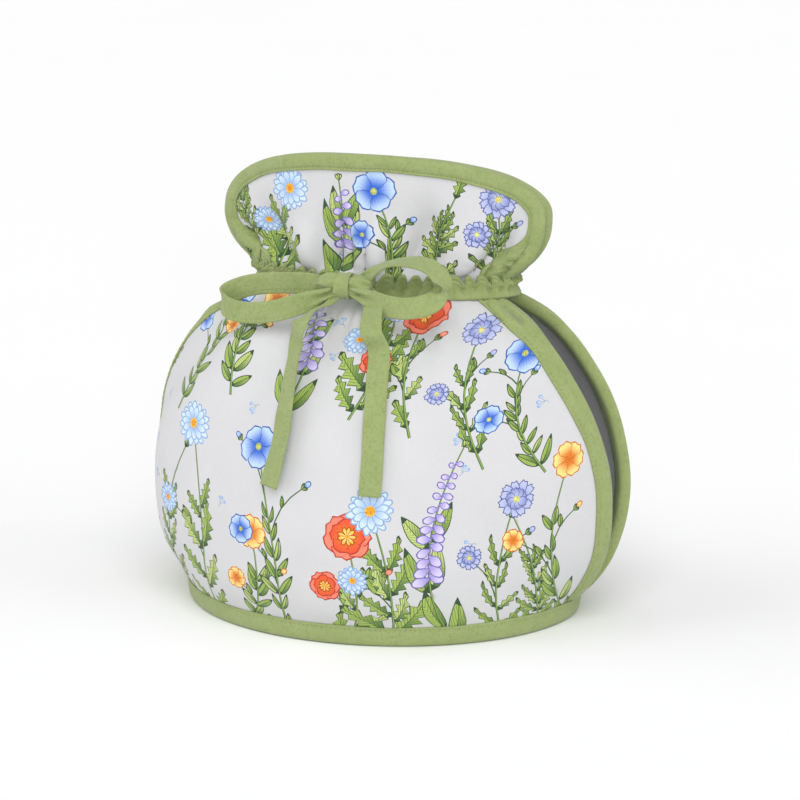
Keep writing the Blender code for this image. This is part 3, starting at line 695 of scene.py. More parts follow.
def paintCloth(piece, flatPoints, top, shapes, printed):
    # at each corner: the ink's colour, the place in its shape and what is drawn there
    mesh = piece.data
    loops = np.zeros(len(mesh.loops), np.int32)
    mesh.loops.foreach_get("vertex_index", loops)
    corners = np.zeros(len(mesh.polygons), np.int32)
    mesh.polygons.foreach_get("loop_total", corners)
    shapeOf = np.full(len(mesh.polygons), -1)
    shapeOf[:printed] = top
    shapeOf = np.repeat(shapeOf, corners)
    start, along, across = (np.array([s[k] for s in shapes]) for k in (1, 2, 3))
    near, far = (np.array([ink[s[k]] for s in shapes]) for k in (4, 5))
    drawing = np.array([s[6] for s in shapes])
    on = shapeOf >= 0
    k = shapeOf[on]
    offset = flatPoints[loops[on]] - start[k]
    x = (offset * along[k]).sum(1) / (along[k] ** 2).sum(1)
    y = (offset * across[k]).sum(1) / (across[k] ** 2).sum(1)
    blend = np.where(drawing[k] == dots, np.hypot(x, y), x)
    blend = ease((blend - 0.1) / 0.8)[:, None]
    colour = np.zeros((len(loops), 4), np.float32)
    colour[on, :3] = near[k] * (1 - blend) + far[k] * blend
    colour[on, 3] = 1.0
    stroke = np.zeros((len(loops), 3), np.float32)
    stroke[on] = np.stack((x, y, drawing[k]), -1)
    mesh.color_attributes.new("ink", "FLOAT_COLOR", "CORNER").data.foreach_set(
        "color", colour.ravel())
    mesh.attributes.new("stroke", "FLOAT_VECTOR", "CORNER").data.foreach_set(
        "vector", stroke.ravel())
    place = flatPoints[loops] / clothGrid["mapSpan"] + clothGrid["mapStart"]
    mesh.uv_layers.new(name="cloth").data.foreach_set("uv", place.ravel())


def newMaterial(name, roughness):
    material = bpy.data.materials.new(name)
    material.use_nodes = True
    shader = material.node_tree.nodes["Principled BSDF"]
    shader.inputs["Roughness"].default_value = roughness
    return material, material.node_tree, shader


def feed(tree, socket, value):
    # a socket takes a link, a colour or a plain value
    if isinstance(value, bpy.types.NodeSocket):
        tree.links.new(value, socket)
    elif isinstance(value, tuple):
        socket.default_value = (*value, 1.0)
    else:
        socket.default_value = value


def addNode(tree, kind, inputs=(), **settings):
    node = tree.nodes.new(kind)
    for key, value in settings.items():
        setattr(node, key, value)
    for key, value in dict(inputs).items():
        feed(tree, node.inputs[key], value)
    return node


def mathNode(tree, operation, *values):
    return addNode(tree, "ShaderNodeMath", enumerate(values), operation=operation).outputs[0]


def mixColours(tree, share, a, b, blend="MIX"):
    return addNode(tree, "ShaderNodeMix", {0: share, 6: a, 7: b}, data_type="RGBA",
                   blend_type=blend).outputs[2]


def noise(tree, place, scale, detail=2.0, roughness=0.5):
    look = {"Vector": place, "Scale": scale, "Detail": detail, "Roughness": roughness}
    return addNode(tree, "ShaderNodeTexNoise", look).outputs["Fac"]


def weaveHeight(tree, threads):
    # plain weave: two sets of threads that pass over each other by turns
    uv = addNode(tree, "ShaderNodeUVMap", uv_map="cloth").outputs["UV"]
    look = {"Vector": uv, "Scale": threads, "Distortion": 1.2, "Detail": 1.0,
            "Detail Scale": 0.6}
    warp, weft = (addNode(tree, "ShaderNodeTexWave", look, wave_type="BANDS",
                          bands_direction=way) for way in "XY")
    return mathNode(tree, "MULTIPLY", warp.outputs["Fac"], weft.outputs["Fac"])


def finishCloth(tree, shader, colour, height, look):
    bump = addNode(tree, "ShaderNodeBump", {"Strength": look["bump"], "Distance": look["relief"],
                                            "Height": height})
    for key, value in (("Base Color", colour), ("Normal", bump.outputs["Normal"]),
                       ("Sheen Weight", look["sheen"]), ("Sheen Roughness", 0.5)):
        feed(tree, shader.inputs[key], value)


cottonLook = {
    "white": tint("CDCDCE"), "shade": tint("C6C6C8"), "threads": 150.0, "bump": 0.5,
    "relief": 0.0002, "sheen": 0.15, "vein": tint("3A5A2C"), "seed": tint("8A3E0C"),
    "streak": (0.32, 0.34, 0.5), "fibre": (0.55, 0.55, 0.56),
}


def printedCotton():
    material, tree, shader = newMaterial("printedCotton", 0.85)
    place = addNode(tree, "ShaderNodeTexCoord").outputs["Object"]
    inkNode = addNode(tree, "ShaderNodeAttribute", attribute_name="ink")
    stroke = addNode(tree, "ShaderNodeAttribute", attribute_name="stroke")
    parts = addNode(tree, "ShaderNodeSeparateXYZ", {"Vector": stroke.outputs["Vector"]})
    along, across, kind = (parts.outputs[k] for k in "XYZ")

    def maths(*values):
        return mathNode(tree, *values)

    def drawn(under, over, mark, wanted, strength):
        # a mark that shows only inside one kind of shape
        mark = maths("MULTIPLY", mark, maths("COMPARE", kind, wanted, 0.2))
        return mixColours(tree, maths("MULTIPLY", mark, strength), under, over)

    wobble = noise(tree, place, 160.0)
    # leaf veins run out and forward from the midrib
    rung = maths("MULTIPLY_ADD", along, 11.0, maths("MULTIPLY", maths("ABSOLUTE", across), -2.6))
    rung = maths("ADD", rung, maths("MULTIPLY", wobble, 0.9))
    vein = maths("LESS_THAN", maths("PINGPONG", rung, 0.5), 0.11)
    # petal streaks fan out from the heart and fade towards the tip
    fan = maths("DIVIDE", across, maths("ADD", maths("ABSOLUTE", along), 0.35))
    fan = maths("MULTIPLY_ADD", wobble, 0.7, maths("MULTIPLY", fan, 3.0))
    streak = maths("LESS_THAN", maths("PINGPONG", fan, 0.5), 0.10)
    streak = maths("MULTIPLY", streak, maths("MAXIMUM", maths("SUBTRACT", 0.85, along), 0.0))
    cells = addNode(tree, "ShaderNodeTexVoronoi", {"Scale": 1100.0, "Vector": place})
    seed = maths("LESS_THAN", cells.outputs["Distance"], 0.35)
    printed = drawn(inkNode.outputs["Color"], cottonLook["vein"], vein, veins, 0.75)
    deeper = mixColours(tree, 1.0, printed, cottonLook["streak"], "MULTIPLY")
    printed = drawn(printed, deeper, streak, streaks, 0.8)
    printed = drawn(printed, cottonLook["seed"], seed, dots, 0.6)
    base = mixColours(tree, noise(tree, place, 45.0, 3.0), cottonLook["white"],
                      cottonLook["shade"])
    colour = mixColours(tree, inkNode.outputs["Alpha"], base, printed)
    grain = maths("MULTIPLY_ADD", weaveHeight(tree, cottonLook["threads"]), 0.5,
                  noise(tree, place, 900.0, 4.0))
    colour = mixColours(tree, maths("MULTIPLY", grain, 0.10), colour,
                        mixColours(tree, 1.0, colour, cottonLook["fibre"], "MULTIPLY"))
    height = maths("MULTIPLY_ADD", noise(tree, place, 70.0), 6.0, grain)
    finishCloth(tree, shader, colour, height, cottonLook)
    return material


tapeLook = {
    "light": tint("A8B47A"), "mid": tint("8C9A5B"), "slub": tint("74834A"),
    "thread": tint("B4BE8A"), "ply": tint("8AA257"), "threads": 62.0, "bump": 0.6,
    "relief": 0.00018, "sheen": 0.2,
}


def tapeCotton():
    material, tree, shader = newMaterial("greenTape", 0.8)
    place = addNode(tree, "ShaderNodeTexCoord").outputs["Object"]
    mottle = noise(tree, place, 120.0, 4.0)
    fibre = noise(tree, place, 1500.0, 3.0)
    weave = weaveHeight(tree, tapeLook["threads"])
    colour = mixColours(tree, mottle, tapeLook["light"], tapeLook["mid"])
    speck = mathNode(tree, "SUBTRACT", noise(tree, place, 560.0, 3.0, 0.7), 0.5)
    speck = mathNode(tree, "MAXIMUM", mathNode(tree, "MULTIPLY", speck, 2.6), 0.0)
    grain = mathNode(tree, "MULTIPLY", mathNode(tree, "SUBTRACT", 1.0, weave), fibre)
    for share in (speck, mathNode(tree, "MULTIPLY", grain, 0.8)):
        colour = mixColours(tree, share, colour, tapeLook["slub"])
    height = mathNode(tree, "MULTIPLY_ADD", mottle, 2.5, mathNode(tree, "ADD", weave, fibre))
    finishCloth(tree, shader, colour, height, tapeLook)
    return material


def threadCotton():
    material, tree, shader = newMaterial("greenThread", 0.7)
    place = addNode(tree, "ShaderNodeTexCoord").outputs["Object"]
    ply = addNode(tree, "ShaderNodeTexWave", {"Scale": 900.0, "Distortion": 2.0,
                                              "Vector": place},
                  bands_direction="DIAGONAL").outputs["Fac"]
    colour = mixColours(tree, ply, tapeLook["ply"], tapeLook["thread"])
    tree.links.new(colour, shader.inputs["Base Color"])
    return material


printMaterial = printedCotton()
tapeMaterial = tapeCotton()
threadMaterial = threadCotton()

frontPanel, frontBorder = clothPiece("frontPanel", frontShape, frontFlat, frontPlants, 11,
                                     printMaterial)
backPanel, backBorder = clothPiece("backPanel", backShape, backFlat, backPlants, 23, printMaterial)


def sweep(name, rings, closed, material):
    # rings of like points joined one to the next, with a map along and round the strip
    rings = np.asarray(rings)
    count, sides = rings.shape[:2]
    faces = []
    pairs = count if closed else count - 1
    for k in range(pairs):
        a, b = k * sides, ((k + 1) % count) * sides
        for i in range(sides):
            j = (i + 1) % sides
            faces.append((a + i, a + j, b + j, b + i))
    if not closed:
        faces.append(tuple(reversed(range(sides))))
        faces.append(tuple(range((count - 1) * sides, count * sides)))
    piece = newPiece(name, rings.reshape(-1, 3), faces, material)
    mesh = piece.data
    middle = rings.mean(axis=1)
    along = lengthAlong(middle)
    girth = np.linalg.norm(np.diff(rings[count // 2], axis=0, append=rings[count // 2][:1]), axis=1)
    around = np.concatenate(([0.0], np.cumsum(girth)[:-1]))
    loops = np.zeros(len(mesh.loops), np.int32)
    mesh.loops.foreach_get("vertex_index", loops)
    uv = np.stack((along[loops // sides], around[loops % sides]), -1) * 0.01
    mesh.uv_layers.new(name="cloth").data.foreach_set("uv", uv.ravel())
    fixNormals(piece)
    return piece


def fixNormals(piece):
    work = bmesh.new()
    work.from_mesh(piece.data)
    bmesh.ops.recalc_face_normals(work, faces=work.faces)
    work.to_mesh(piece.data)
    work.free()


# how far the stitch lines stand off the tape
stitchLift = 0.1
binding = {
    "width": 8.6, "cloth": 1.15, "clearance": 0.12, "stitchIn": 1.5, "start": 8.6, "step": 1.5,
    "collarNarrower": 0.2, "collarFrom": 165.0, "collarOver": 16.0,
}


def bindingPiece(name, shape, flat, seed):
    # a folded tape over the free edge: each station is a ring round the cloth's edge
    line = rimLine(shape, flat, binding["step"])
    _, height = wornFrom(flat, line)
    line = line[height > binding["start"]]
    along = np.gradient(line, axis=0)
    inward = unit(np.stack((-along[:, 1], along[:, 0]), -1))
    inward *= np.sign(np.sum(inward[0] * (np.array((0.0, 80.0)) - line[0])))
    soften(inward, 6)
    inward = unit(inward)
    half = cloth["thickness"] / 2 + binding["clearance"]
    width, thick = binding["width"], binding["cloth"]
    _, height = wornFrom(flat, line)
    narrow = ease((height - binding["collarFrom"]) / binding["collarOver"])
    narrow = 1 - binding["collarNarrower"] * narrow
    rng = random.Random(seed)
    turns = [rng.uniform(0, 6.28) for _ in range(4)]
    run = np.arange(len(line)) * binding["step"]
    wander = 0.22 * np.sin(run / 13 + turns[0]) + 0.14 * np.sin(run / 5.1 + turns[1])
    pucker = 0.10 * np.sin(run * 2 * math.pi / 4.6 + np.sin(run / 9) + turns[2])
    stitch = width - binding["stitchIn"]
    face = ((width, -0.02), (width + 0.05, 0.45), (width - 0.45, 0.92), (stitch + 0.35, 0.78),
            (stitch, 0.42), (stitch - 0.4, 0.8), (stitch - 1.3, 1.12), (width * 0.5, 1.22),
            (width * 0.25, 1.15), (0.6, 1.02))

    def surfaceAt(inset, lift):
        inset = (inset * narrow)[:, None]
        spot, normal = clothFrame(shape, *wornFrom(flat, line + inward * inset))
        return spot + normal * lift[:, None], normal

    level = np.zeros(len(line))
    edge, edgeNormal = surfaceAt(level, level)
    outward = unit(edge - surfaceAt(level + 2.0, level)[0])
    columns, stitchLines = [], []
    for sign in (1, -1):
        rows = []
        for inset, lift in face:
            share = inset / width
            lifted = half + thick * lift + pucker * share * (lift > 0.3)
            spot, normal = surfaceAt(inset + wander * share, sign * lifted)
            rows.append(spot)
            if inset == stitch:
                stitchLines.append((spot + sign * normal * stitchLift, sign * normal))
        columns.append(rows)
    # the tape's rounded nose past the edge, and its inner face along the cloth
    nose = [edge + outward * reach + edgeNormal * (half + thick * 0.8) * lift for reach, lift in
            ((0.75, 0.92), (1.25, 0.55), (1.42, 0.0), (1.25, -0.55), (0.75, -0.92))]
    lining = [surfaceAt(level + w, level + s * (half - 0.06))[0]
              for w, s in ((width * 0.6, -1), (0.3, -1), (0.3, 1), (width * 0.6, 1))]
    ring = columns[0] + nose + columns[1][::-1] + lining
    return sweep(name, np.stack(ring, axis=1), False, tapeMaterial), stitchLines


frontBinding, frontStitch = bindingPiece("frontBinding", frontShape, frontFlat, 5)
backBinding, backStitch = bindingPiece("backBinding", backShape, backFlat, 6)
print("bindings ready")

hem = {"cloth": 1.15, "stitchHeight": 7.9, "step": 1.7, "route": 5.0, "wavyAbove": 9.0}


def hemPiece(name):
    # the band folded round both lower edges, one closed run
    half = cloth["thickness"] / 2 + 0.1
    wall = half + hem["cloth"]
    stitch = hem["stitchHeight"]
    # stand-off from the cloth's middle and height
    profile = ((-wall + 0.4, 0.0), (0.0, 0.0), (wall - 0.9, 0.0), (wall - 0.15, 0.35),
               (wall + 0.15, 1.3), (wall + 0.32, 3.2), (wall + 0.25, 5.4), (wall, stitch - 0.7),
               (wall - 0.42, stitch), (wall - 0.1, stitch + 0.5), (wall - 0.15, 9.1),
               (half + 0.45, 9.55), (half - 0.1, 9.5), (half - 0.1, 1.0), (-half + 0.1, 1.0),
               (-half + 0.1, 9.4), (-wall + 0.2, 9.4), (-wall + 0.35, stitch), (-wall, 6.5),
               (-wall, 1.0))
    rings, stitchSpots = [], []
    for shape, flat, direction in ((frontShape, frontFlat, 1), (backShape, backFlat, -1)):
        row = flatFrom(flat, np.linspace(1, -1, 300), np.full(300, hem["route"]))
        us = np.clip(wornFrom(flat, spread(row, hem["step"]))[0], -1, 1)[::direction]
        run = np.arange(len(us)) * hem["step"]
        wander = 0.10 * np.sin(run / 6.3) + 0.12 * np.sin(run / 17 + shape["side"])
        du = cloth["probe"][0]
        levels = []
        for offset, height in profile:
            z = np.full(len(us), height)
            alongU = plainPoint(shape, us + du, z) - plainPoint(shape, us - du, z)
            normal = np.stack((alongU[:, 1], -alongU[:, 0], np.zeros(len(us))), -1)
            normal = unit(normal * -shape["side"])
            lift = offset + (wander if 1.0 < height < 9.2 and offset > half else 0.0)
            lift = np.broadcast_to(lift, len(us))[:, None]
            spot = plainPoint(shape, us, z) + normal * lift
            if height > hem["wavyAbove"]:
                spot[:, 2] = height + 1.4 * wander
            levels.append(spot)
            if height == stitch and offset > 0:
                stitchSpots.append((spot + normal * stitchLift, normal))
        rings.append(np.stack(levels, axis=1))
    # the run starts where the back panel does
    line = np.roll(np.concatenate(rings), -len(rings[0]), axis=0)
    return sweep(name, line, True, tapeMaterial), stitchSpots


hemBand, hemStitch = hemPiece("hemBand")
print("hem band ready")

casing = {
    "bottom": 159.6, "top": 169.4, "centre": 2.0, "mouth": 4.6, "ruffles": 50, "stations": 12,
    "wave": 3.2, "rise": 2.0, "wide": 60.0, "deep": 31.0, "shoulder": 3.5, "follow": 165.4,
    "sectors": 72, "overBinding": 3.4, "overCloth": 2.1,
}


def casingRing(height, turn):
    # how far out the panels and their bindings reach at a height, for each turn round the neck
    u, level = np.meshgrid(np.linspace(-1, 1, 121), np.arange(height - 1, height + 1.1, 0.5))
    count = casing["sectors"]
    bins = np.linspace(-math.pi, math.pi, count + 1)
    reach = np.zeros(count)
    for shape in (frontShape, backShape):
        here, normal = clothFrame(shape, u.ravel(), level.ravel())
        lift = np.where(np.abs(u.ravel()) > 0.8, casing["overBinding"], casing["overCloth"])
        spot = (here + normal * lift[:, None]) / (casing["wide"], casing["deep"], 1.0)
        spot[:, 0] -= casing["centre"] / casing["wide"]
        angle = np.arctan2(spot[:, 0], -spot[:, 1])
        place = np.clip(np.digitize(angle, bins) - 1, 0, count - 1)
        np.maximum.at(reach, place, np.hypot(spot[:, 0], spot[:, 1]))
    middle = (bins[:-1] + bins[1:]) / 2
    seen = reach > 0
    reach = np.interp(middle, middle[seen], reach[seen], period=2 * math.pi)
    for _ in range(3):
        reach = np.maximum(reach, (np.roll(reach, 1) + reach * 2 + np.roll(reach, -1)) / 4)
    out = np.interp(turn, middle, reach, period=2 * math.pi)
    out = out + casing["shoulder"] / casing["wide"] * np.sin(turn) ** 8
    return np.stack((casing["centre"] + casing["wide"] * out * np.sin(turn),
                     -casing["deep"] * out * np.cos(turn), np.full(len(turn), height)), -1)


def casingPiece(name):
    # a gathered band whose upper edge runs in and out and up and down in ruffles
    bottom, top = casing["bottom"], casing["top"]
    # height, stand-off, share of the wave outwards, share of the rise
    levels = ((bottom, 0.1, 0.0, 0.0), (163.0, 0.1, 0.0, 0.0), (166.5, 0.2, 0.35, 0.1),
              (168.2, 0.4, 0.8, 0.7), (top + 0.2, 0.5, 1.0, 1.0), (top + 0.45, 0.8, 1.0, 1.0),
              (top + 0.2, 1.1, 1.0, 1.0), (top - 1.9, 1.25, 0.9, 1.0), (top - 1.9, 1.9, 0.9, 1.0),
              (top - 0.45, 2.1, 1.0, 1.0), (top - 0.2, 2.4, 1.0, 1.0), (top - 0.5, 2.7, 1.0, 1.0),
              (top - 1.3, 2.5, 1.0, 1.0), (top - 1.7, 1.9, 1.0, 1.0), (top - 2.2, 2.6, 0.95, 0.9),
              (166.9, 2.6, 0.8, 0.6), (166.4, 2.3, 0.68, 0.4), (165.0, 2.0, 0.5, 0.15),
              (163.6, 2.0, 0.42, 0.0), (162.2, 2.2, 0.4, 0.0), (160.8, 2.0, 0.34, 0.0),
              (bottom, 1.1, 0.2, 0.0))
    rng = random.Random(8)
    count = casing["ruffles"]
    widths = np.array([rng.uniform(0.72, 1.3) for _ in range(count)])
    edges = np.concatenate(([0.0], np.cumsum(widths))) / widths.sum()
    swell = np.array([rng.uniform(0.7, 1.2) for _ in range(count + 1)])
    start = math.asin(casing["mouth"] / 2 / casing["wide"])
    sample = np.linspace(0, 1, count * casing["stations"] + 1)
    turn = start + (2 * math.pi - 2 * start) * sample
    phase = np.interp(sample, edges, np.arange(count + 1))
    size = np.interp(sample, edges, swell)
    skew = 0.28 * np.sin(2 * math.pi * phase) + 0.2 * np.sin(phase * 1.7)
    outward = unit(np.stack((np.sin(turn) / casing["wide"], -np.cos(turn) / casing["deep"],
                             np.zeros(len(turn))), -1))
    sideways = np.cross(outward, (0.0, 0.0, 1.0))
    columns = []
    for height, stand, waveShare, riseShare in levels:
        # the creases slant on their way down the band
        lean = 0.55 * max(top - 1.5 - height, 0) / 8
        crest = np.cos(2 * math.pi * (phase + lean))
        crest = crest + 0.16 * np.cos(4 * math.pi * (phase + lean))
        shift = casing["wave"] * waveShare * size * (crest * 0.5 + 0.5)
        spot = casingRing(min(height, casing["follow"]), turn)
        spot[:, 2] = height - casing["rise"] * riseShare * size * crest * 0.9
        columns.append(spot + outward * (stand + shift)[:, None]
                       + sideways * (skew * riseShare * 1.2 * size)[:, None])
    return sweep(name, np.stack(columns, axis=1), False, tapeMaterial)


neckCasing = casingPiece("neckCasing")
print("neck casing ready")

# centre of the tape in x, y, z and the direction of its width
leftLoop = (
    (-5, -46, 166, 0, 0.1, 1), (-16, -44.5, 166.5, 0, 0.1, 1),
    (-32, -44.5, 166, 0, 0, 1), (-47, -44.5, 164.6, 0.1, 0.1, 1),
    (-58.5, -46, 161.5, 0.1, 0.1, 1), (-64.5, -50.8, 157.8, 0.05, 0.1, 1),
    (-60, -55.8, 154.2, -0.05, 0.1, 1), (-49, -57.5, 152.4, -0.1, 0.1, 1),
    (-36, -57, 153.6, -0.1, 0, 1), (-21, -55, 158.2, -0.2, 0, 1),
    (-6, -49.5, 164.5, 0, 0, 1),
)
rightLoop = (
    (4, -44.8, 167, 0, 0.2, 1), (11, -44.6, 172.5, 0, 0.8, 0.6),
    (19, -44, 178, 0, 1, 0.2), (30, -44, 180.8, 0, 1, 0.25),
    (41, -45.5, 179.8, -0.1, 0.9, 0.4), (49, -48, 175.5, -0.1, 0.75, 0.6),
    (52, -51.5, 169.5, 0, 0.6, 0.75), (48.5, -55.5, 164.2, 0.1, 0.45, 0.85),
    (39.5, -58, 161, 0, 0.3, 1), (27.5, -58, 160.5, 0, 0.2, 1),
    (16, -54.5, 162.5, 0, 0.1, 1), (5, -49.5, 165.5, 0, 0, 1),
)
drawnStrands = (
    (2, -46, 166, 1, 0, 0), (2, -40, 165, 1, 0, 0),
    (2, -36, 164.2, 1, 0, 0), (2, -32.6, 164, 1, 0, 0),
)
# the tails: x, how far the tape stands off the panel, height, and the direction of its width
leftTail = (
    (-3, 16, 165.5, 0.9, -0.3, 0.3), (-9, 9, 159.5, 0.8, -0.4, 0.4),
    (-14.5, 7.5, 151, 0.7, -0.7, 0.2), (-17, 6.4, 142, 0.6, -0.7, 0),
    (-16, 5.8, 130, 0.7, -0.6, 0), (-14.5, 5.2, 114, 0.8, -0.5, 0),
    (-15, 4.6, 96, 0.9, -0.4, 0), (-18.5, 4.4, 78, 0.9, -0.3, 0),
)
rightTail = (
    (5, 15.5, 166.5, 0.8, 0, 0.6), (11, 16, 164.8, 0.8, 0.1, 0.6),
    (16, 13.5, 161, 0.9, 0.1, 0.35), (19.5, 9.5, 156, 0.95, 0.1, 0.1),
    (22.3, 6.4, 149.5, 1, 0.1, 0), (24.5, 5, 142, 1, 0.2, 0),
    (26.8, 4.2, 130, 1, 0.2, 0), (30, 3.2, 110, 1, 0.2, 0),
    (32, 2.8, 92, 1, 0.2, 0), (32.3, 2.8, 77, 1, 0.2, 0),
)
tie = {
    "width": 10.6, "thickness": 1.3, "pinch": 0.5, "pinchReach": 17.0, "stitchAt": 0.68,
    "bendLimit": 0.45, "strands": (4.2, 2.2), "step": 1.2,
}


def tailRoute(rows):
    # the tails follow the front panel: their depth is read from its outer face
    out = []
    for x, standOff, height, wx, wy, wz in rows:
        row = smoothRead(sections[:, 0], sections, np.array(height))
        reach, wrap = (row[1], row[5]) if x > 0 else (row[2], row[6])
        wrap = math.radians(wrap)
        u = math.asin(x * math.sin(wrap) / reach) / wrap
        spot, normal = clothFrame(frontShape, np.array((u,)), np.array((height,)))
        forward = (cloth["thickness"] / 2 + standOff) / normal[0, 1]
        out.append((x, spot[0, 1] + forward, height, wx, wy, wz))
    return out


def tapeRings(rows, width, thickness, pinchStart, pinchEnd, seed, hand=1):
    # one ring round the tape at each station of its route, and the two stitch lines
    rows = np.array(rows, float)
    places = lengthAlong(rows[:, :3])
    count = int(places[-1] / tie["step"])
    run = np.linspace(0, places[-1], count)
    route = smoothRead(places, rows, run)
    soften(route, 8)
    soften(route[:, 3:], 18)
    spot = route[:, :3]
    along = unit(np.gradient(spot, axis=0))
    across = unit(route[:, 3:] - along * np.sum(route[:, 3:] * along, axis=1, keepdims=True))
    # in a tight bend the width turns away from the bend's inside, so the tape's edge can't crumple
    bend = np.gradient(along, axis=0) / np.gradient(places[-1] * np.linspace(0, 1, count))[:, None]
    sharp = np.linalg.norm(bend, axis=1, keepdims=True) + 1e-9
    inside = bend / sharp
    share = np.sum(across * inside, axis=1, keepdims=True)
    most = np.minimum(tie["bendLimit"] / (sharp * width / 2), 1.0)
    rest = across - inside * share
    rest /= np.linalg.norm(rest, axis=1, keepdims=True) + 1e-9
    share = np.clip(share, -most, most)
    across = rest * np.sqrt(1 - share ** 2) + inside * share
    soften(across, 14)
    across -= along * np.sum(across * along, axis=1, keepdims=True)
    across *= hand / np.linalg.norm(across, axis=1, keepdims=True)
    face = np.cross(along, across)
    loose = np.ones(count)
    if pinchStart:
        loose *= ease(run / tie["pinchReach"])
    if pinchEnd:
        loose *= ease((places[-1] - run) / tie["pinchReach"])
    scale = tie["pinch"] + (1 - tie["pinch"]) * loose
    at = tie["stitchAt"]
    half = ((-1.0, 0.3), (-0.95, 0.85), (-0.85, 1.0), (-0.55, 0.86), (-0.2, 0.8), (0.15, 0.8),
            (0.45, 0.86), (at - 0.09, 0.92), (at, 0.6), (at + 0.09, 0.92), (0.88, 1.0),
            (0.96, 0.85), (1.0, 0.3))
    ring = [(x, y) for x, y in half] + [(x, -y) for x, y in reversed(half)]
    rng = random.Random(seed)
    a, b, c = (rng.uniform(0, 6.28) for _ in range(3))
    columns, stitchLines = [], []
    for x, y in ring:
        w = x * width / 2 * scale
        fold = (1 - loose) * 2.2 * (np.cos(x * 5.2 + a) - 0.2)
        wave = 0.22 * np.sin(run / 6.5 + a + x) + 0.16 * np.sin(run / 3.7 + b + 2.4 * x) * x
        curl = 0.35 * (x * x - 0.4) * np.sin(run / 21 + c)
        depth = y * thickness / 2 + (fold + wave + curl)
        columns.append(spot + across * w[:, None] + face * depth[:, None])
        if x == at:
            sign = 1.0 if y > 0 else -1.0
            stitchLines.append((columns[-1] + sign * face * stitchLift, sign * face))
    return np.stack(columns, axis=1), stitchLines


def pathLength(rings, closed=False):
    # along the middle of a run of rings
    middle = np.asarray(rings).mean(axis=1)
    if closed:
        middle = np.concatenate((middle, middle[:1]))
    return np.linalg.norm(np.diff(middle, axis=0), axis=1).sum()


def tieTapes(name):
    tapes = (
        (leftLoop, True, True, 31, -1), (rightLoop, True, True, 32, 1),
        (tailRoute(leftTail), True, False, 33, 1), (tailRoute(rightTail), True, False, 34, -1),
    )
    parts, lines, length = [], [], 0.0
    for k, (rows, first, last, seed, hand) in enumerate(tapes):
        rings, stitched = tapeRings(rows, tie["width"], tie["thickness"], first, last, seed, hand)
        length += pathLength(rings)
        parts.append(sweep("tape%d" % k, rings, False, tapeMaterial))
        lines += stitched
    rings, _ = tapeRings(drawnStrands, *tie["strands"], False, False, 35)
    parts.append(sweep("tapeStrands", rings, False, tapeMaterial))
    # the two drawn strands lie together as one run
    return joinPieces(name, parts), lines, length + 2 * pathLength(rings)


def joinPieces(name, parts):
    with bpy.context.temp_override(active_object=parts[0], object=parts[0],
                                   selected_editable_objects=parts, selected_objects=parts):
        bpy.ops.object.join()
    parts[0].name = name
    parts[0].data.name = name
    return parts[0]


knot = {"centre": (0.0, -46.5, 167.0), "wrapWidth": 7.6, "wrapStations": 60, "sides": 48}
# along the bar: place, half its height, half its depth
knotRings = np.array((
    (-14.5, 3, 2.4), (-11, 4.9, 4), (-5, 5.5, 4.8), (0, 5, 4.4), (4.5, 5.7, 5),
    (9, 5.3, 4.6), (13, 3.4, 2.8),
))


def knotPiece(name):
    # a bunched bar of tape with one turn of tape wrapped round its middle
    centre = np.array(knot["centre"])
    count = knot["sides"]
    turns = np.linspace(0, 2 * math.pi, count + 1)[:-1]
    rings = []
    for x in np.linspace(knotRings[0, 0], knotRings[-1, 0], count):
        _, high, deep = smoothRead(knotRings[:, 0], knotRings, np.array(x))
        crease = 0.55 * np.cos(5 * turns + 0.16 * x) + 0.25 * np.cos(9 * turns - 0.3 * x + 1)
        rings.append(centre + np.stack((np.full(count, x), (deep + crease) * np.cos(turns),
                                        (high + crease) * np.sin(turns)), -1))
    bar = sweep("knotBar", rings, False, tapeMaterial)
    length = pathLength(rings)
    profile = ((-1.0, 0.0), (-0.96, 0.8), (-0.82, 1.1), (-0.5, 0.95), (-0.3, 1.15), (-0.12, 0.7),
               (0.06, 1.15), (0.35, 1.2), (0.5, 0.75), (0.64, 1.1), (0.86, 1.1), (0.97, 0.75),
               (1.0, 0.0), (0.5, -0.6), (-0.5, -0.6))
    rings = []
    for turn in np.linspace(0, 2 * math.pi, knot["wrapStations"] + 1)[:-1]:
        out = np.array((0.0, math.cos(turn), math.sin(turn)))
        ring = []
        for x, lift in profile:
            wide = knot["wrapWidth"] / 2 * (1 + 0.08 * math.sin(2 * turn + 0.6))
            place = -1.0 + x * wide + 0.5 * math.sin(turn)
            _, high, deep = smoothRead(knotRings[:, 0], knotRings, np.array(place))
            ring.append(centre + np.array((place, 0, 0))
                        + out * np.array((0, deep + 0.7, high + 0.6)) + out * lift * 0.6)
        rings.append(ring)
    wrap = sweep("knotWrap", rings, True, tapeMaterial)
    return joinPieces(name, [bar, wrap]), length + pathLength(rings, True)


tieTape, tieStitch, tapeLength = tieTapes("tieTape")
tieKnot, knotLength = knotPiece("tieKnot")

# these are in metres
stitches = {"pitch": 0.0024, "length": 0.0016, "width": 0.00042}


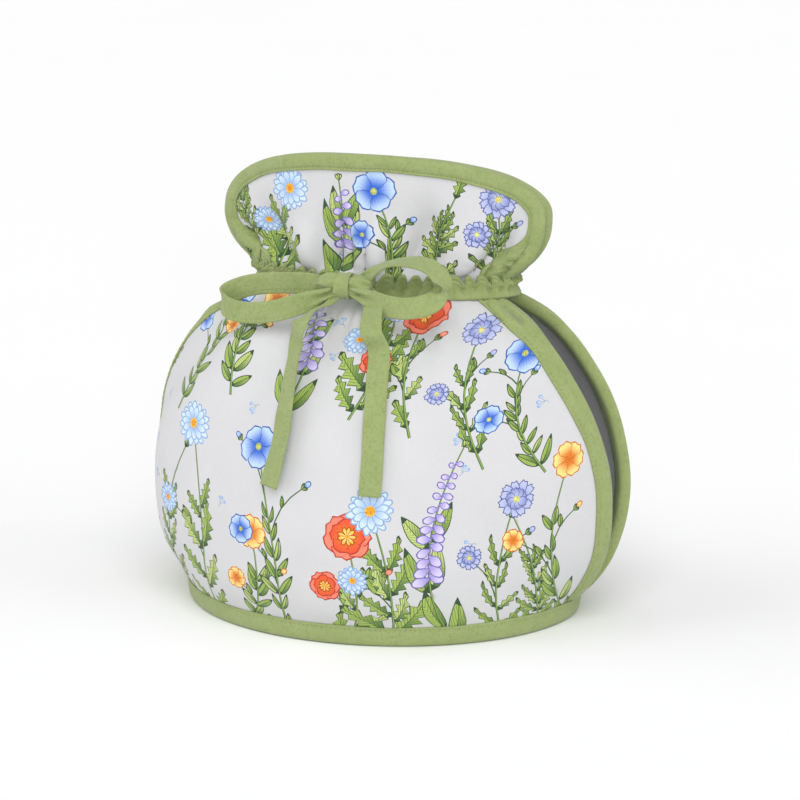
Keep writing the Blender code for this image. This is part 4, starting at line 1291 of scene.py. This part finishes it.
def stitchTree(material):
    # a bead at every pitch along a line, its long side along it
    tree = bpy.data.node_groups.new("stitchRow", "GeometryNodeTree")
    face = tree.interface
    face.new_socket("Path", in_out="INPUT", socket_type="NodeSocketGeometry")
    for label in ("Pitch", "Length", "Width"):
        face.new_socket(label, in_out="INPUT", socket_type="NodeSocketFloat")
    face.new_socket("Stitches", in_out="OUTPUT", socket_type="NodeSocketGeometry")
    given = tree.nodes.new("NodeGroupInput").outputs
    curve = addNode(tree, "GeometryNodeMeshToCurve", {"Mesh": given["Path"]})
    spaced = addNode(tree, "GeometryNodeResampleCurve",
                     {"Curve": curve.outputs[0], "Length": given["Pitch"]}, mode="LENGTH")
    tangent = tree.nodes.new("GeometryNodeInputTangent")
    lie = addNode(tree, "GeometryNodeInputNamedAttribute", {"Name": "lie"},
                  data_type="FLOAT_VECTOR")
    turn = addNode(tree, "FunctionNodeAxesToRotation",
                   {"Primary Axis": tangent.outputs[0], "Secondary Axis": lie.outputs[0]},
                   primary_axis="X", secondary_axis="Z")
    bead = addNode(tree, "GeometryNodeMeshUVSphere", {"Segments": 6, "Rings": 5, "Radius": 0.5})
    size = addNode(tree, "ShaderNodeCombineXYZ",
                   {"X": given["Length"], "Y": given["Width"], "Z": given["Width"]})
    row = addNode(tree, "GeometryNodeInstanceOnPoints",
                  {"Points": spaced.outputs[0], "Instance": bead.outputs["Mesh"],
                   "Rotation": turn.outputs[0], "Scale": size.outputs[0]})
    for kind, look in (("GeometryNodeRealizeInstances", {}), ("GeometryNodeSetShadeSmooth", {}),
                       ("GeometryNodeSetMaterial", {"Material": material})):
        row = addNode(tree, kind, {"Geometry": row.outputs[0], **look})
    tree.links.new(row.outputs[0], tree.nodes.new("NodeGroupOutput").inputs[0])
    return tree


def stitchPiece(name, lines, tree):
    points = np.concatenate([spot for spot, _ in lines])
    lies = np.concatenate([lie for _, lie in lines])
    edges, first = [], 0
    for spot, _ in lines:
        edges += [(first + k, first + k + 1) for k in range(len(spot) - 1)]
        first += len(spot)
    mesh = bpy.data.meshes.new(name + "Path")
    mesh.from_pydata(toScene(points).tolist(), edges, [])
    mesh.attributes.new("lie", "FLOAT_VECTOR", "POINT").data.foreach_set(
        "vector", lies.astype(np.float32).ravel())
    guide = addObject(name + "Path", mesh)
    modifier = guide.modifiers.new("stitchRow", "NODES")
    modifier.node_group = tree
    for item in tree.interface.items_tree:
        if item.in_out == "INPUT" and item.name.lower() in stitches:
            modifier[item.identifier] = stitches[item.name.lower()]
    depsgraph = bpy.context.evaluated_depsgraph_get()
    done = bpy.data.meshes.new_from_object(guide.evaluated_get(depsgraph))
    bpy.data.objects.remove(guide)
    return addObject(name, done)


rowTree = stitchTree(threadMaterial)
bindingStitches = stitchPiece("bindingStitches", frontStitch + backStitch, rowTree)
hemStitches = stitchPiece("hemStitches", hemStitch, rowTree)
tieStitches = stitchPiece("tieStitches", tieStitch, rowTree)
print("stitches ready")

studio = {
    "azimuth": 22.0, "elevation": 12.0, "distance": 1.5, "target": (-0.0028, 0.0019, 0.12),
    "lens": 135.0, "sensor": 36.0, "shift": (0.0215, -0.0466), "world": 0.54,
    "floor": tint("F8F8F9"), "floorShade": tint("F6F6F7"), "floorReach": 12.0,
    "floorHeight": -0.0004,
}
# direction towards each light, power, softness in degrees
lights = {
    "key": ((0.36, -0.82, 0.95), 1.4, 42), "leftFill": ((-0.9, -0.45, 0.6), 0.75, 50),
    "rightFill": ((0.95, -0.05, 0.5), 0.4, 40), "frontFill": ((0.42, -0.9, 0.2), 0.6, 12),
}


def makeFloor():
    material, tree, shader = newMaterial("paleFloor", 0.9)
    place = addNode(tree, "ShaderNodeTexCoord").outputs["Object"]
    colour = mixColours(tree, noise(tree, place, 3.0), studio["floor"], studio["floorShade"])
    tree.links.new(colour, shader.inputs["Base Color"])
    mesh = bpy.data.meshes.new("paleFloor")
    reach = studio["floorReach"]
    mesh.from_pydata([(x * reach, y * reach, studio["floorHeight"])
                      for x, y in ((-1, -1), (1, -1), (1, 1), (-1, 1))], [], [(0, 1, 2, 3)])
    mesh.materials.append(material)
    floor = addObject("paleFloor", mesh)


def softSun(name, direction, power, softness):
    lamp = bpy.data.lights.new(name, "SUN")
    lamp.energy = power
    lamp.angle = math.radians(softness)
    thing = addObject(name, lamp)
    thing.rotation_euler = (-Vector(direction)).to_track_quat("-Z", "Y").to_euler()


def makeStudio():
    makeFloor()
    world = bpy.data.worlds.new("softbox")
    world.use_nodes = True
    backdrop = world.node_tree.nodes["Background"]
    backdrop.inputs["Color"].default_value = (1.0, 1.0, 1.0, 1.0)
    backdrop.inputs["Strength"].default_value = studio["world"]
    bpy.context.scene.world = world
    for name, values in lights.items():
        softSun(name, *values)
    camera = bpy.data.cameras.new("camera")
    camera.lens = studio["lens"]
    camera.sensor_width = studio["sensor"]
    camera.shift_x, camera.shift_y = studio["shift"]
    thing = addObject("camera", camera)
    a, e = (math.radians(studio[k]) for k in ("azimuth", "elevation"))
    back = Vector((math.sin(a) * math.cos(e), -math.cos(a) * math.cos(e), math.sin(e)))
    thing.location = Vector(studio["target"]) + back * studio["distance"]
    thing.rotation_euler = (-back).to_track_quat("-Z", "Y").to_euler()
    bpy.context.scene.camera = thing
    bpy.context.scene.view_settings.view_transform = "Standard"


makeStudio()

for piece, slot, *nodes in (
    (frontPanel, "printed_cotton", "front_panel"), (backPanel, "printed_cotton", "back_panel"),
    (frontBinding, "green_tape", "front_binding"), (backBinding, "green_tape", "back_binding"),
    (hemBand, "green_tape", "hem_band"), (neckCasing, "green_tape", "neck_casing"),
    (tieTape, "green_tape", "tie"), (tieKnot, "green_tape"), (bindingStitches, "green_tape"),
    (hemStitches, "green_tape"), (tieStitches, "green_tape"),
):
    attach(piece, "root")
    if nodes:
        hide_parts(*nodes)


def flatArea(border):
    x, y = border[:, 0], border[:, 1]
    return abs(np.dot(x, np.roll(y, -1)) - np.dot(y, np.roll(x, -1))) / 2


for panel, border, extras in (
    (frontPanel, frontBorder, [frontBinding, hemBand, neckCasing, hemStitches]),
    (backPanel, backBorder, [backBinding, bindingStitches]),
):
    wide, tall = (border.max(axis=0) - border.min(axis=0)) * 0.001
    area = flatArea(border) * 1e-6
    print(panel.name, "flat", round(wide, 3), round(tall, 3), round(area, 4))
    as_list(extras)
